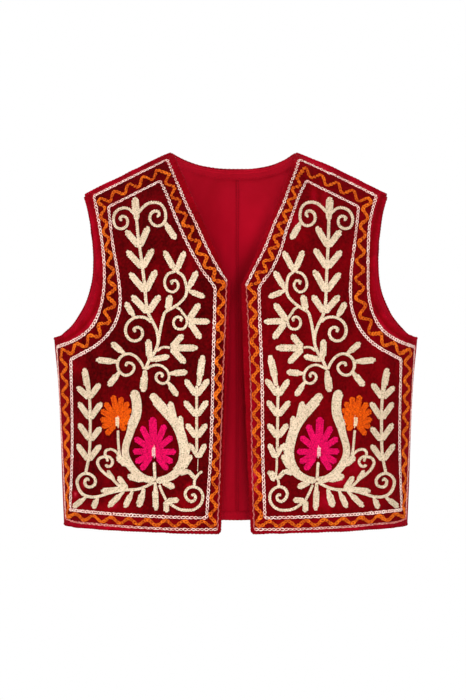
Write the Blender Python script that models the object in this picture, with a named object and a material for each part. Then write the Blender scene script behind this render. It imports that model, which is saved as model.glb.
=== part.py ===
"""A short, sleeveless, open-fronted velvet waistcoat, hollow and filled out as if it were worn.

Metres, +Z up. The origin is on the shoulder line, midway between the two neck points, where a
wearer's shoulders hold the garment. The fronts face -Y. Left and right are as seen from the front.
Every piece is a closed wall of cloth that follows one smooth form; the form is the outer face of
the velvet, and each wall lies between two depths under it.
"""

from collections import namedtuple
from math import pi

import bmesh
import bpy
import numpy as np

# Cloth, as depths under the form.
FRONT_WALL = 0.0024
BACK_WALL = 0.0015
LINING_WALL = 0.0010
FACING_WALL = 0.0010
SEAM_GAP = 0.0003

# The shoulder line falls straight from the neck point to the shoulder point.
NECK_HALF_WIDTH = 0.0800
SHOULDER_HALF_WIDTH = 0.1886
SHOULDER_DROP = 0.0538
SHOULDER_SLOPE = SHOULDER_DROP / (SHOULDER_HALF_WIDTH - NECK_HALF_WIDTH)

# Below the shoulder line the cloth rounds forward and back until it hangs plumb.
ROUNDING_POWER = 1.7
RIDGE_SOFTNESS = 0.07
FRONT_ROUNDING_DROP = 0.158
BACK_ROUNDING_DROP = 0.126

# Level sections are superellipses.
GIRTH_POWER = 1.8
Section = namedtuple("Section", "z half_width front_depth back_depth")
SECTIONS = [
    Section(z=-0.467, half_width=0.2145, front_depth=0.107, back_depth=0.101),
    Section(z=-0.420, half_width=0.2165, front_depth=0.108, back_depth=0.101),
    Section(z=-0.345, half_width=0.2190, front_depth=0.111, back_depth=0.102),
    Section(z=-0.280, half_width=0.2224, front_depth=0.114, back_depth=0.104),
    Section(z=-0.232, half_width=0.2270, front_depth=0.115, back_depth=0.106),
    Section(z=-0.150, half_width=0.2310, front_depth=0.115, back_depth=0.108),
    Section(z=0.020, half_width=0.2320, front_depth=0.113, back_depth=0.106),
]

# Edges, from the front.
FRONT_HEM_Z = -0.467
SIDE_HEM_Z = -0.463
BACK_HEM_Z = -0.465
V_POINT_Z = -0.167
UNDERARM_Z = -0.232
BACK_NECK_DROP = 0.0162
BACK_NECK_POWER = 2.6
CentreEdge = namedtuple("CentreEdge", "z half_gap")
CENTRE_EDGE = [
    CentreEdge(z=FRONT_HEM_Z, half_gap=0.0192),
    CentreEdge(z=-0.380, half_gap=0.0153),
    CentreEdge(z=-0.306, half_gap=0.0124),
    CentreEdge(z=-0.250, half_gap=0.0101),
    CentreEdge(z=V_POINT_Z, half_gap=0.0078),
]

# An armhole is a quarter of a superellipse, in turn and height, from the side seam up to its
# narrowest level, and a slow curve from there out to the shoulder point.
Armhole = namedtuple("Armhole", "narrow_half_width narrow_z round_power")
FRONT_ARMHOLE = Armhole(narrow_half_width=0.1697, narrow_z=-0.152, round_power=2.45)
BACK_ARMHOLE = Armhole(narrow_half_width=0.1808, narrow_z=-0.124, round_power=2.28)
ARMHOLE_FLARE_POWER = 1.8
GIRTH_PER_RADIAN = 0.175

# The fronts' centre and neck edges curl in towards the wearer.
EDGE_CURL_DEPTH = 0.0050
EDGE_CURL_WIDTH = 0.0160

# Soft folds of the whole form: a negative depth is a trough. lean is sideways travel per metre up.
Fold = namedtuple("Fold", "face x z half_width half_height depth lean")
FOLDS = [
    Fold(face=-1, x=-0.118, z=-0.440, half_width=0.026, half_height=0.090, depth=-0.0022, lean=0.10),
    Fold(face=-1, x=-0.062, z=-0.455, half_width=0.022, half_height=0.075, depth=0.0018, lean=-0.06),
    Fold(face=-1, x=-0.168, z=-0.235, half_width=0.020, half_height=0.050, depth=-0.0024, lean=-0.55),
    Fold(face=-1, x=0.104, z=-0.450, half_width=0.024, half_height=0.085, depth=-0.0020, lean=-0.12),
    Fold(face=-1, x=0.158, z=-0.410, half_width=0.021, half_height=0.100, depth=0.0022, lean=0.08),
    Fold(face=-1, x=0.092, z=-0.062, half_width=0.013, half_height=0.034, depth=-0.0022, lean=0.60),
    Fold(face=-1, x=0.170, z=-0.240, half_width=0.020, half_height=0.046, depth=-0.0022, lean=0.60),
    Fold(face=1, x=-0.120, z=-0.400, half_width=0.030, half_height=0.150, depth=-0.0030, lean=0.08),
    Fold(face=1, x=-0.034, z=-0.380, half_width=0.026, half_height=0.170, depth=0.0026, lean=0.02),
    Fold(face=1, x=0.066, z=-0.410, half_width=0.028, half_height=0.130, depth=-0.0026, lean=-0.05),
    Fold(face=1, x=0.132, z=-0.370, half_width=0.026, half_height=0.120, depth=0.0024, lean=-0.10),
    Fold(face=1, x=-0.078, z=-0.150, half_width=0.022, half_height=0.060, depth=0.0016, lean=0.35),
    Fold(face=1, x=0.086, z=-0.160, half_width=0.022, half_height=0.060, depth=0.0016, lean=-0.30),
]

# Grid of each half panel: rows run round the body, columns run up it.
ROWS_BELOW_UNDERARM = 11
ROWS_ABOVE_UNDERARM = 20
ROW_CLOSING_POWER = 1.35
FRONT_COLUMNS = 14
NECK_COLUMNS = 6
SHOULDER_COLUMNS = 8
CENTRE_Z_OF_UNDERARM_ROW = -0.290
EDGE_POINTS = 160
TURN_EASE_POWER = 3
Z_EASE_POWER = 6
ON_SEAM = 0.0001

# The lining stops short of the velvet's edges, and the facings lie on the lining.
LINING_INSET = 0.0025
FACING_INSET = 0.0035
NECK_FACING_WIDTH = 0.0095
HEM_FACING_WIDTH = 0.0100

Finish = namedtuple("Finish", "color roughness")
VELVET = Finish(color=(0.30, 0.005, 0.030), roughness=0.85)
LINING = Finish(color=(0.42, 0.006, 0.050), roughness=0.80)


def column_of(table, name):
    return [getattr(row, name) for row in table]


def eased(z, table, name):
    """Value of a table's column at height z, eased between the rows."""
    heights = np.array(column_of(table, "z"))
    values = np.array(column_of(table, name))
    upper = np.clip(np.searchsorted(heights, z), 1, len(heights) - 1)
    part = np.clip((z - heights[upper - 1]) / (heights[upper] - heights[upper - 1]), 0, 1)
    slopes = np.gradient(values, heights)
    span = heights[upper] - heights[upper - 1]
    start = values[upper - 1]
    stop = values[upper]
    square = part * part
    cube = square * part
    return (
        start * (2 * cube - 3 * square + 1)
        + slopes[upper - 1] * span * (cube - 2 * square + part)
        + stop * (3 * square - 2 * cube)
        + slopes[upper] * span * (cube - square)
    )


def shoulder_z(x):
    """Height of the ridge over the shoulders, rounded off between the neck points."""
    outside = (NECK_HALF_WIDTH - np.abs(x)) * SHOULDER_SLOPE
    inside = (1 - (x / NECK_HALF_WIDTH) ** 2) * NECK_HALF_WIDTH * SHOULDER_SLOPE / 2
    return np.where(np.abs(x) < NECK_HALF_WIDTH, inside, outside)


def turn_at(x, z):
    """Turn round the body, 0 at the centre line and a quarter turn at the side seam, signed as x."""
    across = np.clip(np.abs(x) / eased(z, SECTIONS, "half_width"), 0, 1)
    along = (1 - across**GIRTH_POWER) ** (1 / GIRTH_POWER)
    return np.sign(x) * np.arctan2(across, along)


def fold_height(face, x, z):
    """How far the soft folds lift the form at a point."""
    lift = np.zeros_like(x)
    for fold in FOLDS:
        if fold.face == face:
            up = (z - fold.z) / fold.half_height
            across = (x - fold.x - fold.lean * (z - fold.z)) / fold.half_width
            lift += fold.depth * np.exp(-(across**2) - up**2)
    return lift


def curl(x, z):
    """How far a front's centre or neck edge is turned in."""
    straight = np.interp(z, column_of(CENTRE_EDGE, "z"), column_of(CENTRE_EDGE, "half_gap"))
    slanted = np.interp(z, [V_POINT_Z, 0.0], [CENTRE_EDGE[-1].half_gap, NECK_HALF_WIDTH])
    inward = np.abs(x) - np.where(z < V_POINT_Z, straight, slanted)
    near = np.clip(1 - inward / EDGE_CURL_WIDTH, 0, 1)
    fade = np.clip(-z / (2 * EDGE_CURL_WIDTH), 0, 1)
    return EDGE_CURL_DEPTH * near**2 * fade


def form(face, turn, z):
    """Points on the outer face of the velvet. face is -1 for the fronts and 1 for the back."""
    rounding_drop = FRONT_ROUNDING_DROP if face < 0 else BACK_ROUNDING_DROP
    depth_name = "front_depth" if face < 0 else "back_depth"
    across = np.sin(turn)
    along = np.abs(np.cos(turn))
    scale = (np.abs(across) ** GIRTH_POWER + along**GIRTH_POWER) ** (-1 / GIRTH_POWER)
    x = eased(z, SECTIONS, "half_width") * across * scale
    fall = np.clip((shoulder_z(x) - z) / rounding_drop, 0, None)
    reach = np.clip(np.sqrt((fall + RIDGE_SOFTNESS) ** 2 - RIDGE_SOFTNESS**2), 0, 1)
    depth = eased(z, SECTIONS, depth_name) * (1 - (1 - reach) ** ROUNDING_POWER)
    side_fade = np.clip(along * scale, 0, 1) * reach
    depth = depth * along * scale + fold_height(face, x, z) * side_fade
    if face < 0:
        depth = depth - curl(x, z) * reach
    return np.stack([x, face * depth, z], axis=-1)


def outward(face, turn, z):
    """Unit normals of the form, level with the ridge's own normal along the shoulder line."""
    turn_step = 0.0005
    z_step = 0.00005
    points = form(face, turn, z)
    round_body = form(face, turn + turn_step, z) - form(face, turn - turn_step, z)
    up_body = points - form(face, turn, z - z_step)
    normal = np.cross(round_body, up_body) * -face
    normal /= np.linalg.norm(normal, axis=-1, keepdims=True)
    ridge = np.stack([np.sign(turn) * SHOULDER_SLOPE, 0 * turn, 1 + 0 * turn], axis=-1)
    ridge /= np.linalg.norm(ridge, axis=-1, keepdims=True)
    on_ridge = shoulder_z(points[..., 0]) - z < z_step
    return np.where(on_ridge[..., None], ridge, normal)


def closing(start, stop, count):
    """count + 1 values from start to stop, closer together towards the stop."""
    return stop + (start - stop) * (1 - np.linspace(0, 1, count + 1)) ** ROW_CLOSING_POWER


def spaced(points, count):
    """count + 1 points along a polyline of (turn, z) points, closer together towards its end."""
    points = np.array(points)
    steps = np.diff(points, axis=0) * (GIRTH_PER_RADIAN, 1)
    length = np.concatenate([[0], np.cumsum(np.linalg.norm(steps, axis=1))])
    wanted = closing(0, length[-1], count)
    return np.stack([np.interp(wanted, length, points[:, k]) for k in range(2)], axis=1)


def joined(*stretches):
    """Polylines that share their end points, as one."""
    return np.concatenate([stretches[0]] + [stretch[1:] for stretch in stretches[1:]])


def edge(x, z):
    """(turn, z) points of an edge given by its x and z as seen from the front."""
    return np.stack([turn_at(x, z), z], axis=1)


def armhole(shape):
    """(turn, z) points from the underarm up to the shoulder point."""
    narrow_turn = turn_at(shape.narrow_half_width, shape.narrow_z)
    angle = np.linspace(0, pi / 2, EDGE_POINTS)
    low_turn = pi / 2 + (narrow_turn - pi / 2) * np.sin(angle) ** (2 / shape.round_power)
    low_z = shape.narrow_z + (UNDERARM_Z - shape.narrow_z) * np.cos(angle) ** (2 / shape.round_power)
    rise = np.linspace(0, 1, EDGE_POINTS)
    flare = (SHOULDER_HALF_WIDTH - shape.narrow_half_width) * rise**ARMHOLE_FLARE_POWER
    high_z = shape.narrow_z + (-SHOULDER_DROP - shape.narrow_z) * rise
    high = edge(shape.narrow_half_width + flare, high_z)
    return joined(np.stack([low_turn, low_z], axis=1), high)


def outer_edge(shape):
    """(turn, z) of every row's end on the side seam and round the armhole."""
    seam_z = np.linspace(SIDE_HEM_Z, UNDERARM_Z, ROWS_BELOW_UNDERARM + 1)
    seam = np.stack([0 * seam_z + pi / 2, seam_z], axis=1)
    return joined(seam, spaced(armhole(shape), ROWS_ABOVE_UNDERARM))


def front_inner_edge():
    """(turn, z) of every row's start on a front's centre edge and neck edge."""
    heights = column_of(CENTRE_EDGE, "z")
    gaps = column_of(CENTRE_EDGE, "half_gap")
    low_z = np.linspace(FRONT_HEM_Z, CENTRE_Z_OF_UNDERARM_ROW, ROWS_BELOW_UNDERARM + 1)
    rows_to_v = ROWS_ABOVE_UNDERARM // 3
    middle_z = np.linspace(CENTRE_Z_OF_UNDERARM_ROW, V_POINT_Z, rows_to_v + 1)
    neck_z = closing(V_POINT_Z, 0, ROWS_ABOVE_UNDERARM - rows_to_v)
    neck_x = np.interp(neck_z, [V_POINT_Z, 0], [gaps[-1], NECK_HALF_WIDTH])
    low = edge(np.interp(low_z, heights, gaps), low_z)
    middle = edge(np.interp(middle_z, heights, gaps), middle_z)
    return joined(low, middle, edge(neck_x, neck_z))


def back_inner_edge():
    """(turn, z) of every row's start on the centre back line."""
    low_z = np.linspace(BACK_HEM_Z, CENTRE_Z_OF_UNDERARM_ROW, ROWS_BELOW_UNDERARM + 1)
    high_z = closing(CENTRE_Z_OF_UNDERARM_ROW, -BACK_NECK_DROP, ROWS_ABOVE_UNDERARM)
    z = np.concatenate([low_z, high_z[1:]])
    return np.stack([0 * z, z], axis=1)


def back_neck_z(x):
    return -BACK_NECK_DROP * (1 - (x / NECK_HALF_WIDTH) ** BACK_NECK_POWER)


def half_panel(inner, outer, top):
    """Turn and z of a grid of rows from an inner to an outer edge, ending on a top edge."""
    part = np.linspace(0, 1, len(top))
    up = np.linspace(0, 1, len(inner))[:, None]
    turn = inner[:, :1] * (1 - part) + outer[:, :1] * part
    z = inner[:, 1:] * (1 - part) + outer[:, 1:] * part
    turn = turn + (top[:, 0] - turn[-1]) * up**TURN_EASE_POWER
    z = z + (top[:, 1] - z[-1]) * up**Z_EASE_POWER
    return turn, z


def front_grid():
    top_x = np.linspace(NECK_HALF_WIDTH, SHOULDER_HALF_WIDTH, FRONT_COLUMNS + 1)
    top = edge(top_x, shoulder_z(top_x))
    return half_panel(front_inner_edge(), outer_edge(FRONT_ARMHOLE), top)


def back_half_grid():
    neck_x = np.linspace(0, NECK_HALF_WIDTH, NECK_COLUMNS + 1)
    shoulder_x = np.linspace(NECK_HALF_WIDTH, SHOULDER_HALF_WIDTH, SHOULDER_COLUMNS + 1)
    shoulder = edge(shoulder_x, shoulder_z(shoulder_x))
    top = joined(edge(neck_x, back_neck_z(neck_x)), shoulder)
    return half_panel(back_inner_edge(), outer_edge(BACK_ARMHOLE), top)


def mirrored(turn, z):
    """A half grid and its mirror image as one grid, across the centre line."""
    return np.hstack([-turn[:, :0:-1], turn]), np.hstack([z[:, :0:-1], z])


def layer(face, turn, z, depth):
    """The grid's points at a depth under the form, trimmed to the shoulder and side seams."""
    surface = form(face, turn, z)
    points = surface - outward(face, turn, z) * depth
    on_side = pi / 2 - np.abs(turn) < ON_SEAM
    on_shoulder = shoulder_z(surface[..., 0]) - z < ON_SEAM
    beyond = face * points[..., 1] < SEAM_GAP / 2
    points[..., 1] = np.where(on_side | on_shoulder | beyond, face * SEAM_GAP / 2, points[..., 1])
    return points


def drawn_in(points, hem, neck, armhole):
    """A half panel's points with its hem, neck and armhole edges slid towards the next row in."""
    points = points.copy()
    points[0] += (points[1] - points[0]) * hem
    points[-1, :NECK_COLUMNS] += (points[-2, :NECK_COLUMNS] - points[-1, :NECK_COLUMNS]) * neck
    rim = points[ROWS_BELOW_UNDERARM + 1 :]
    rim[:, -1] += (rim[:, -2] - rim[:, -1]) * armhole
    return points


def wall(name, outer, inner, finish, centre=0):
    """A closed wall of cloth between two grids. Its quads split alike either side of a column."""
    rows, columns = outer.shape[:2]
    mesh = bpy.data.meshes.new(name)
    shell = bmesh.new()
    sheets = []
    for grid in (outer, inner):
        sheets.append([[shell.verts.new(point) for point in row] for row in grid.tolist()])
    front, rear = sheets
    for i in range(rows - 1):
        for j in range(columns - 1):
            corners = [(i, j), (i, j + 1), (i + 1, j + 1), (i + 1, j)]
            if j < centre:
                corners = corners[1:] + corners[:1]
            for half in (corners[:3], corners[2:] + corners[:1]):
                shell.faces.new([front[a][b] for a, b in half])
                shell.faces.new([rear[a][b] for a, b in reversed(half)])
    rim = [(0, j) for j in range(columns - 1)]
    rim += [(i, columns - 1) for i in range(rows - 1)]
    rim += [(rows - 1, j) for j in range(columns - 1, 0, -1)]
    rim += [(i, 0) for i in range(rows - 1, 0, -1)]
    for (a, b), (c, d) in zip(rim, rim[1:] + rim[:1]):
        shell.faces.new([front[c][d], front[a][b], rear[a][b], rear[c][d]])
    bmesh.ops.recalc_face_normals(shell, faces=shell.faces)
    shell.to_mesh(mesh)
    shell.free()
    mesh.shade_smooth()
    material = bpy.data.materials.new(name)
    material.use_nodes = True
    shader = material.node_tree.nodes["Principled BSDF"]
    shader.inputs["Base Color"].default_value = (*finish.color, 1)
    shader.inputs["Roughness"].default_value = finish.roughness
    shader.inputs["Metallic"].default_value = 0
    mesh.materials.append(material)
    piece = bpy.data.objects.new(name, mesh)
    bpy.context.collection.objects.link(piece)
    return piece


def build_fronts():
    turn, z = front_grid()
    for name, side in (("front_left", -1), ("front_right", 1)):
        outer = layer(-1, side * turn, z, 0)
        inner = layer(-1, side * turn, z, FRONT_WALL)
        wall(name, outer, inner, VELVET)


def build_back():
    half = back_half_grid()
    turn, z = mirrored(*half)
    centre = half[0].shape[1] - 1
    wall("back", layer(1, turn, z, 0), layer(1, turn, z, BACK_WALL), VELVET, centre)


def build_back_lining():
    turn, z = back_half_grid()
    hem = LINING_INSET / (z[1, 0] - z[0, 0])
    neck = LINING_INSET / (z[-1, 0] - z[-2, 0])
    armhole = LINING_INSET / (GIRTH_PER_RADIAN * (turn[-2, -1] - turn[-2, -2]))
    near = BACK_WALL + SEAM_GAP
    for name, side in (("back_lining_left", -1), ("back_lining_right", 1)):
        faces = []
        for depth in (near, near + LINING_WALL):
            points = drawn_in(layer(1, side * turn, z, depth), hem, neck, armhole)
            points[:, 0, 0] = side * SEAM_GAP / 2
            faces.append(points)
        wall(name, *faces, LINING)


def build_back_facing(name, from_end, width, half_columns):
    """A band on the lining that follows one end of the back's rows."""
    half = back_half_grid()
    turn, z = mirrored(*half)
    centre = half[0].shape[1] - 1
    columns = np.s_[centre - half_columns : centre + half_columns + 1]
    order = -1 if from_end else 1
    heights = np.abs(z[::order, centre] - z[::order, centre][0])
    reach = np.arange(len(heights))
    start, stop = np.interp([FACING_INSET, width], heights, reach)
    rows = [start] + [row for row in reach if start < row < stop] + [stop]
    near = BACK_WALL + LINING_WALL + 2 * SEAM_GAP
    faces = []
    for depth in (near, near + FACING_WALL):
        points = layer(1, turn, z, depth)[::order, columns]
        whole = [int(row) for row in rows]
        part = np.array(rows) - whole
        step = points[np.array(whole) + 1] - points[whole]
        faces.append((points[whole] + step * part[:, None, None])[::order])
    wall(name, *faces, LINING, half_columns)


for thing in list(bpy.data.objects):
    bpy.data.objects.remove(thing, do_unlink=True)

build_fronts()
build_back()
build_back_lining()
build_back_facing("back_neck_facing", True, NECK_FACING_WIDTH, NECK_COLUMNS - 1)
build_back_facing("back_hem_facing", False, HEM_FACING_WIDTH, NECK_COLUMNS + SHOULDER_COLUMNS)
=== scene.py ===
"""The looks of an embroidered velvet waistcoat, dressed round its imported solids.

Metres, +Z up, the fronts face -Y and the origin is on the shoulder line. Left and right are as
seen from the front. The embroidery's tables are in millimetres: x out from the centre line of a
front that faces the eye, and z from the shoulder line.
"""

from collections import namedtuple
from math import pi, radians

import bpy
import numpy as np
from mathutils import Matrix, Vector


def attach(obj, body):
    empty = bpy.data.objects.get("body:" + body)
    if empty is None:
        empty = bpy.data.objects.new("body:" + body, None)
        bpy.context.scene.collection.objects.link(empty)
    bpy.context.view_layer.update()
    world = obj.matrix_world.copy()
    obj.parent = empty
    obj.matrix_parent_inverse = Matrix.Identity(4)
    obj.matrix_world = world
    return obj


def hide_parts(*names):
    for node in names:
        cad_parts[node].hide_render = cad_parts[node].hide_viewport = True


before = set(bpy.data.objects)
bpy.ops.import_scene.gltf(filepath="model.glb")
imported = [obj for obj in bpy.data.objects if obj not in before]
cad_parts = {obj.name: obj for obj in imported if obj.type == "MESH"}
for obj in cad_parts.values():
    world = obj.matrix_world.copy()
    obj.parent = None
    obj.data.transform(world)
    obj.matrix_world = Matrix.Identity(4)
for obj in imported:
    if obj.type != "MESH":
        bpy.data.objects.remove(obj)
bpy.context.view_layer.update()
MM = 0.001

# --- Camera ---
# It stands level with the middle of the garment, three metres in front of it, and looks straight
# at it through a long lens.
CAMERA_AT = (-0.0034, -3.0, -0.246)
CAMERA_LENS = 123.43


def new_object(name, data):
    """An object of the scene, made of the given data."""
    made = bpy.data.objects.new(name, data)
    bpy.context.collection.objects.link(made)
    return made


camera = new_object("camera", bpy.data.cameras.new("camera"))
camera.data.lens = CAMERA_LENS
camera.location = CAMERA_AT
camera.rotation_euler = (pi / 2, 0, 0)
bpy.context.scene.camera = camera

# --- Studio ---
# A white room with a pale floor where the wearer's feet would be, and soft lamps. The front lamp
# is beside the camera and lights the lining through the open front.
ROOM_LIGHT = 0.55
LAMPS = [  # name, place, size and watts
    ("key", (-1.3, -2.0, 1.3), 0.7, 34),
    ("front", (0.1, -3.1, -0.1), 0.5, 40),
    ("fill", (2.0, -1.8, 0.2), 1.6, 10),
    ("behind", (0.5, 2.4, 1.1), 1.6, 30),
]
FLOOR_Z = -1.40
FLOOR_RADIUS = 2.4
FLOOR_SIDES = 96


class Wire:
    """A socket of a shader node. Arithmetic on it adds Math nodes."""

    def __init__(self, tree, socket=None):
        self.tree = tree
        self.socket = socket

    def node(self, kind, settings=None, sockets=None, output=0):
        """A new node: its settings come first, then the values or links of its sockets."""
        made = self.tree.nodes.new(kind)
        for name, value in (settings or {}).items():
            setattr(made, name, value)
        for name, value in (sockets or {}).items():
            if isinstance(value, Wire):
                self.tree.links.new(value.socket, made.inputs[name])
            else:
                made.inputs[name].default_value = value
        return Wire(self.tree, made.outputs[output]) if made.outputs else made

    def math(self, operation, first, second):
        return self.node("ShaderNodeMath", {"operation": operation}, {0: first, 1: second})

    def __add__(self, other):
        return self.math("ADD", self, other)

    def __sub__(self, other):
        return self.math("SUBTRACT", self, other)

    def __rsub__(self, other):
        return self.math("SUBTRACT", other, self)

    def __mul__(self, other):
        return self.math("MULTIPLY", self, other)

    __radd__ = __add__
    __rmul__ = __mul__

    def between(self, low, high):
        """0 where this value is up to low, 1 from high, and even between."""
        return self.node("ShaderNodeMapRange", {"clamp": True}, {0: self, 1: low, 2: high})

    def mix(self, first, second):
        """A colour between two, by this value from 0 to 1."""
        return self.node("ShaderNodeMix", {"data_type": "RGBA"}, {0: self, 6: first, 7: second}, 2)

    def noise(self, scale, detail=3.0, stretch=None):
        """Soft noise over the piece's own metres."""
        place = self.node("ShaderNodeTexCoord", output=3)
        if stretch:
            settings = {"operation": "MULTIPLY"}
            place = self.node("ShaderNodeVectorMath", settings, {0: place, 1: stretch})
        sockets = {"Vector": place, "Scale": scale, "Detail": detail}
        return self.node("ShaderNodeTexNoise", None, sockets)

    def tone(self):
        """The tone that each point of the mesh carries."""
        return self.node("ShaderNodeAttribute", {"attribute_name": "tone"}, None, 2)


def new_finish(name, **values):
    """A material whose shader takes the given values, and a wire to start its nodes from."""
    material = bpy.data.materials.new(name)
    material.use_nodes = True
    shader = material.node_tree.nodes["Principled BSDF"]
    for socket, value in values.items():
        shader.inputs[socket.replace("_", " ")].default_value = value
    return material, Wire(material.node_tree)


def feed(material, **wires):
    """Links wires to the shader's sockets. A height goes through a Bump node to its normal."""
    shader = material.node_tree.nodes["Principled BSDF"]
    for socket, wire in wires.items():
        if socket == "Height":
            height, distance = wire
            wire = height.node("ShaderNodeBump", None, {"Height": height, "Distance": distance})
            socket = "Normal"
        material.node_tree.links.new(wire.socket, shader.inputs[socket.replace("_", " ")])


world = bpy.data.worlds.new("room")
world.use_nodes = True
world.node_tree.nodes.clear()
room = Wire(world.node_tree)
lighting = room.node("ShaderNodeBackground", None, {0: (1, 1, 1, 1), 1: ROOM_LIGHT})
backdrop = room.node("ShaderNodeBackground", None, {0: (1, 1, 1, 1), 1: 1.0})
to_camera = room.node("ShaderNodeLightPath")
both = room.node("ShaderNodeMixShader", None, {0: to_camera, 1: lighting, 2: backdrop})
room.node("ShaderNodeOutputWorld", None, {0: both})
bpy.context.scene.world = world
bpy.context.scene.view_settings.view_transform = "Standard"
for name, place, breadth, watts in LAMPS:
    light = bpy.data.lights.new(name, "AREA")
    light.size = breadth
    light.energy = watts
    stand = new_object(name, light)
    stand.location = place
    to_garment = Vector((0, 0, CAMERA_AT[2])) - stand.location
    stand.rotation_euler = to_garment.to_track_quat("-Z", "Y").to_euler()

floor_turn = np.linspace(0, 2 * pi, FLOOR_SIDES, endpoint=False)
floor_rim = np.c_[np.cos(floor_turn), np.sin(floor_turn)] * FLOOR_RADIUS
floor_mesh = bpy.data.meshes.new("floor")
floor_mesh.from_pydata([(x, y, FLOOR_Z) for x, y in floor_rim], [], [range(FLOOR_SIDES)])
floor_paint, start = new_finish("floor_paint", Roughness=0.7)
feed(floor_paint, Base_Color=start.noise(3.0).mix((0.80, 0.80, 0.79, 1), (0.86, 0.86, 0.85, 1)))
floor_mesh.materials.append(floor_paint)
new_object("floor", floor_mesh)

# --- The two fronts ---
# Each front is one panel of cotton velvet, backed with cotton and stiff with embroidery. It is
# sewn to the back at the shoulder and the side. Its free edges are turned in.
FRONT_WALL = 0.0024
SEAM_GAP = 0.0003
NECK_HALF_WIDTH = 0.0800
SHOULDER_HALF_WIDTH = 0.1886
SHOULDER_DROP = 0.0538
SHOULDER_SLOPE = SHOULDER_DROP / (SHOULDER_HALF_WIDTH - NECK_HALF_WIDTH)
FRONT_HEM_Z = -0.467
SIDE_HEM_Z = -0.463
BACK_HEM_Z = -0.465
V_POINT_Z = -0.167
UNDERARM_Z = -0.232
BACK_NECK_DROP = 0.0162
BACK_NECK_POWER = 2.6
# The form: its sections at a few heights, and how it rounds over to the shoulder line. -1 stands
# for the front and 1 for the back.
SECTION_Z = np.array([-0.467, -0.420, -0.345, -0.280, -0.232, -0.150, 0.020])
HALF_WIDTH = np.array([0.2145, 0.2165, 0.2190, 0.2224, 0.2270, 0.2310, 0.2320])
DEPTH = {
    -1: np.array([0.107, 0.108, 0.111, 0.114, 0.115, 0.115, 0.113]),
    1: np.array([0.101, 0.101, 0.102, 0.104, 0.106, 0.108, 0.106]),
}
ROUNDING_DROP = {-1: 0.158, 1: 0.126}
ROUNDING_POWER = 1.7
RIDGE_SOFTNESS = 0.07
GIRTH_POWER = 1.8
FLAT = (0.175, 1)  # metres of cloth to a radian round the body, and to a metre of height
OPENING_Z = [FRONT_HEM_Z, -0.380, -0.306, -0.250, V_POINT_Z, 0.0]
OPENING_X = [0.0192, 0.0153, 0.0124, 0.0101, 0.0078, NECK_HALF_WIDTH]
NECK_BOW = {"left": 0.0, "right": 0.0024}
NECK_BOW_POWER = 2.0
FRONT_ARMHOLE = (0.1697, -0.152, 2.45)  # narrowest half width, its height, and roundness
BACK_ARMHOLE = (0.1808, -0.124, 2.28)
ARMHOLE_FLARE_POWER = 1.8
EDGE_CURL_DEPTH = 0.0050
EDGE_CURL_WIDTH = 0.0160
GROOVE_IN = 0.0055
GROOVE_HALF_WIDTH = 0.0018
GROOVE_DEPTH = 0.0008
FRONT_ROWS = (58, 108)  # below the underarm and above it
FRONT_COLUMNS = 80
ROW_CLOSING_POWER = 1.15
CENTRE_Z_OF_UNDERARM_ROW = -0.290
TURN_EASE_POWER = 3
Z_EASE_POWER = 6
EDGE_POINTS = 400
ON_SEAM = 0.0001
SHARP_ANGLE = radians(62)
# Soft spots are rows of these. Here they are the folds, and how the right neck point leans in.
Spot = namedtuple("Spot", "x z half_width half_height amount lean", defaults=[0])
FOLDS = {
    -1: [
        (-0.118, -0.44, 0.026, 0.09, -0.0022, 0.1), (-0.062, -0.455, 0.022, 0.075, 0.0018, -0.06),
        (-0.168, -0.235, 0.02, 0.05, -0.0024, -0.55), (0.104, -0.45, 0.024, 0.085, -0.002, -0.12),
        (0.158, -0.41, 0.021, 0.1, 0.0022, 0.08), (0.092, -0.062, 0.013, 0.034, -0.0022, 0.6),
        (0.17, -0.24, 0.02, 0.046, -0.0022, 0.6),
    ],
    1: [
        (-0.12, -0.4, 0.03, 0.15, -0.003, 0.08), (-0.034, -0.38, 0.026, 0.17, 0.0026, 0.02),
        (0.066, -0.41, 0.028, 0.13, -0.0026, -0.05), (0.132, -0.37, 0.026, 0.12, 0.0024, -0.1),
        (-0.078, -0.15, 0.022, 0.06, 0.0016, 0.35), (0.086, -0.16, 0.022, 0.06, 0.0016, -0.3),
    ],
}
NECK_LEAN = (0.080, -0.002, 0.030, 0.017, -0.0052)


def bell(row, x, z):
    """1 in the middle of a soft spot, falling away over its half width and half height."""
    spot = Spot(*row)
    up = z - spot.z
    across = (x - spot.x - spot.lean * up) / spot.half_width
    return np.exp(-(across**2) - (up / spot.half_height) ** 2)


def spread(rows, x, z):
    """The sum of some soft spots, each up to its amount."""
    return sum(Spot(*row).amount * bell(row, x, z) for row in rows)


def eased(at, knots, values):
    """Values at places between knots, on one smooth curve."""
    upper = np.clip(np.searchsorted(knots, at), 1, len(knots) - 1)
    span = knots[upper] - knots[upper - 1]
    part = np.clip((at - knots[upper - 1]) / span, 0, 1)
    slopes = np.gradient(values, knots)
    square = part * part
    cube = square * part
    return (
        values[upper - 1] * (2 * cube - 3 * square + 1)
        + slopes[upper - 1] * span * (cube - 2 * square + part)
        + values[upper] * (3 * square - 2 * cube)
        + slopes[upper] * span * (cube - square)
    )


def shoulder_z(x):
    outside = (NECK_HALF_WIDTH - np.abs(x)) * SHOULDER_SLOPE
    inside = (1 - (x / NECK_HALF_WIDTH) ** 2) * NECK_HALF_WIDTH * SHOULDER_SLOPE / 2
    return np.where(np.abs(x) < NECK_HALF_WIDTH, inside, outside)


def turn_at(x, z):
    """Turn round the body, 0 at the centre line and a quarter turn at the side seam."""
    across = np.clip(np.abs(x) / eased(z, SECTION_Z, HALF_WIDTH), 0, 1)
    along = (1 - across**GIRTH_POWER) ** (1 / GIRTH_POWER)
    return np.sign(x) * np.arctan2(across, along)


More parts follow.
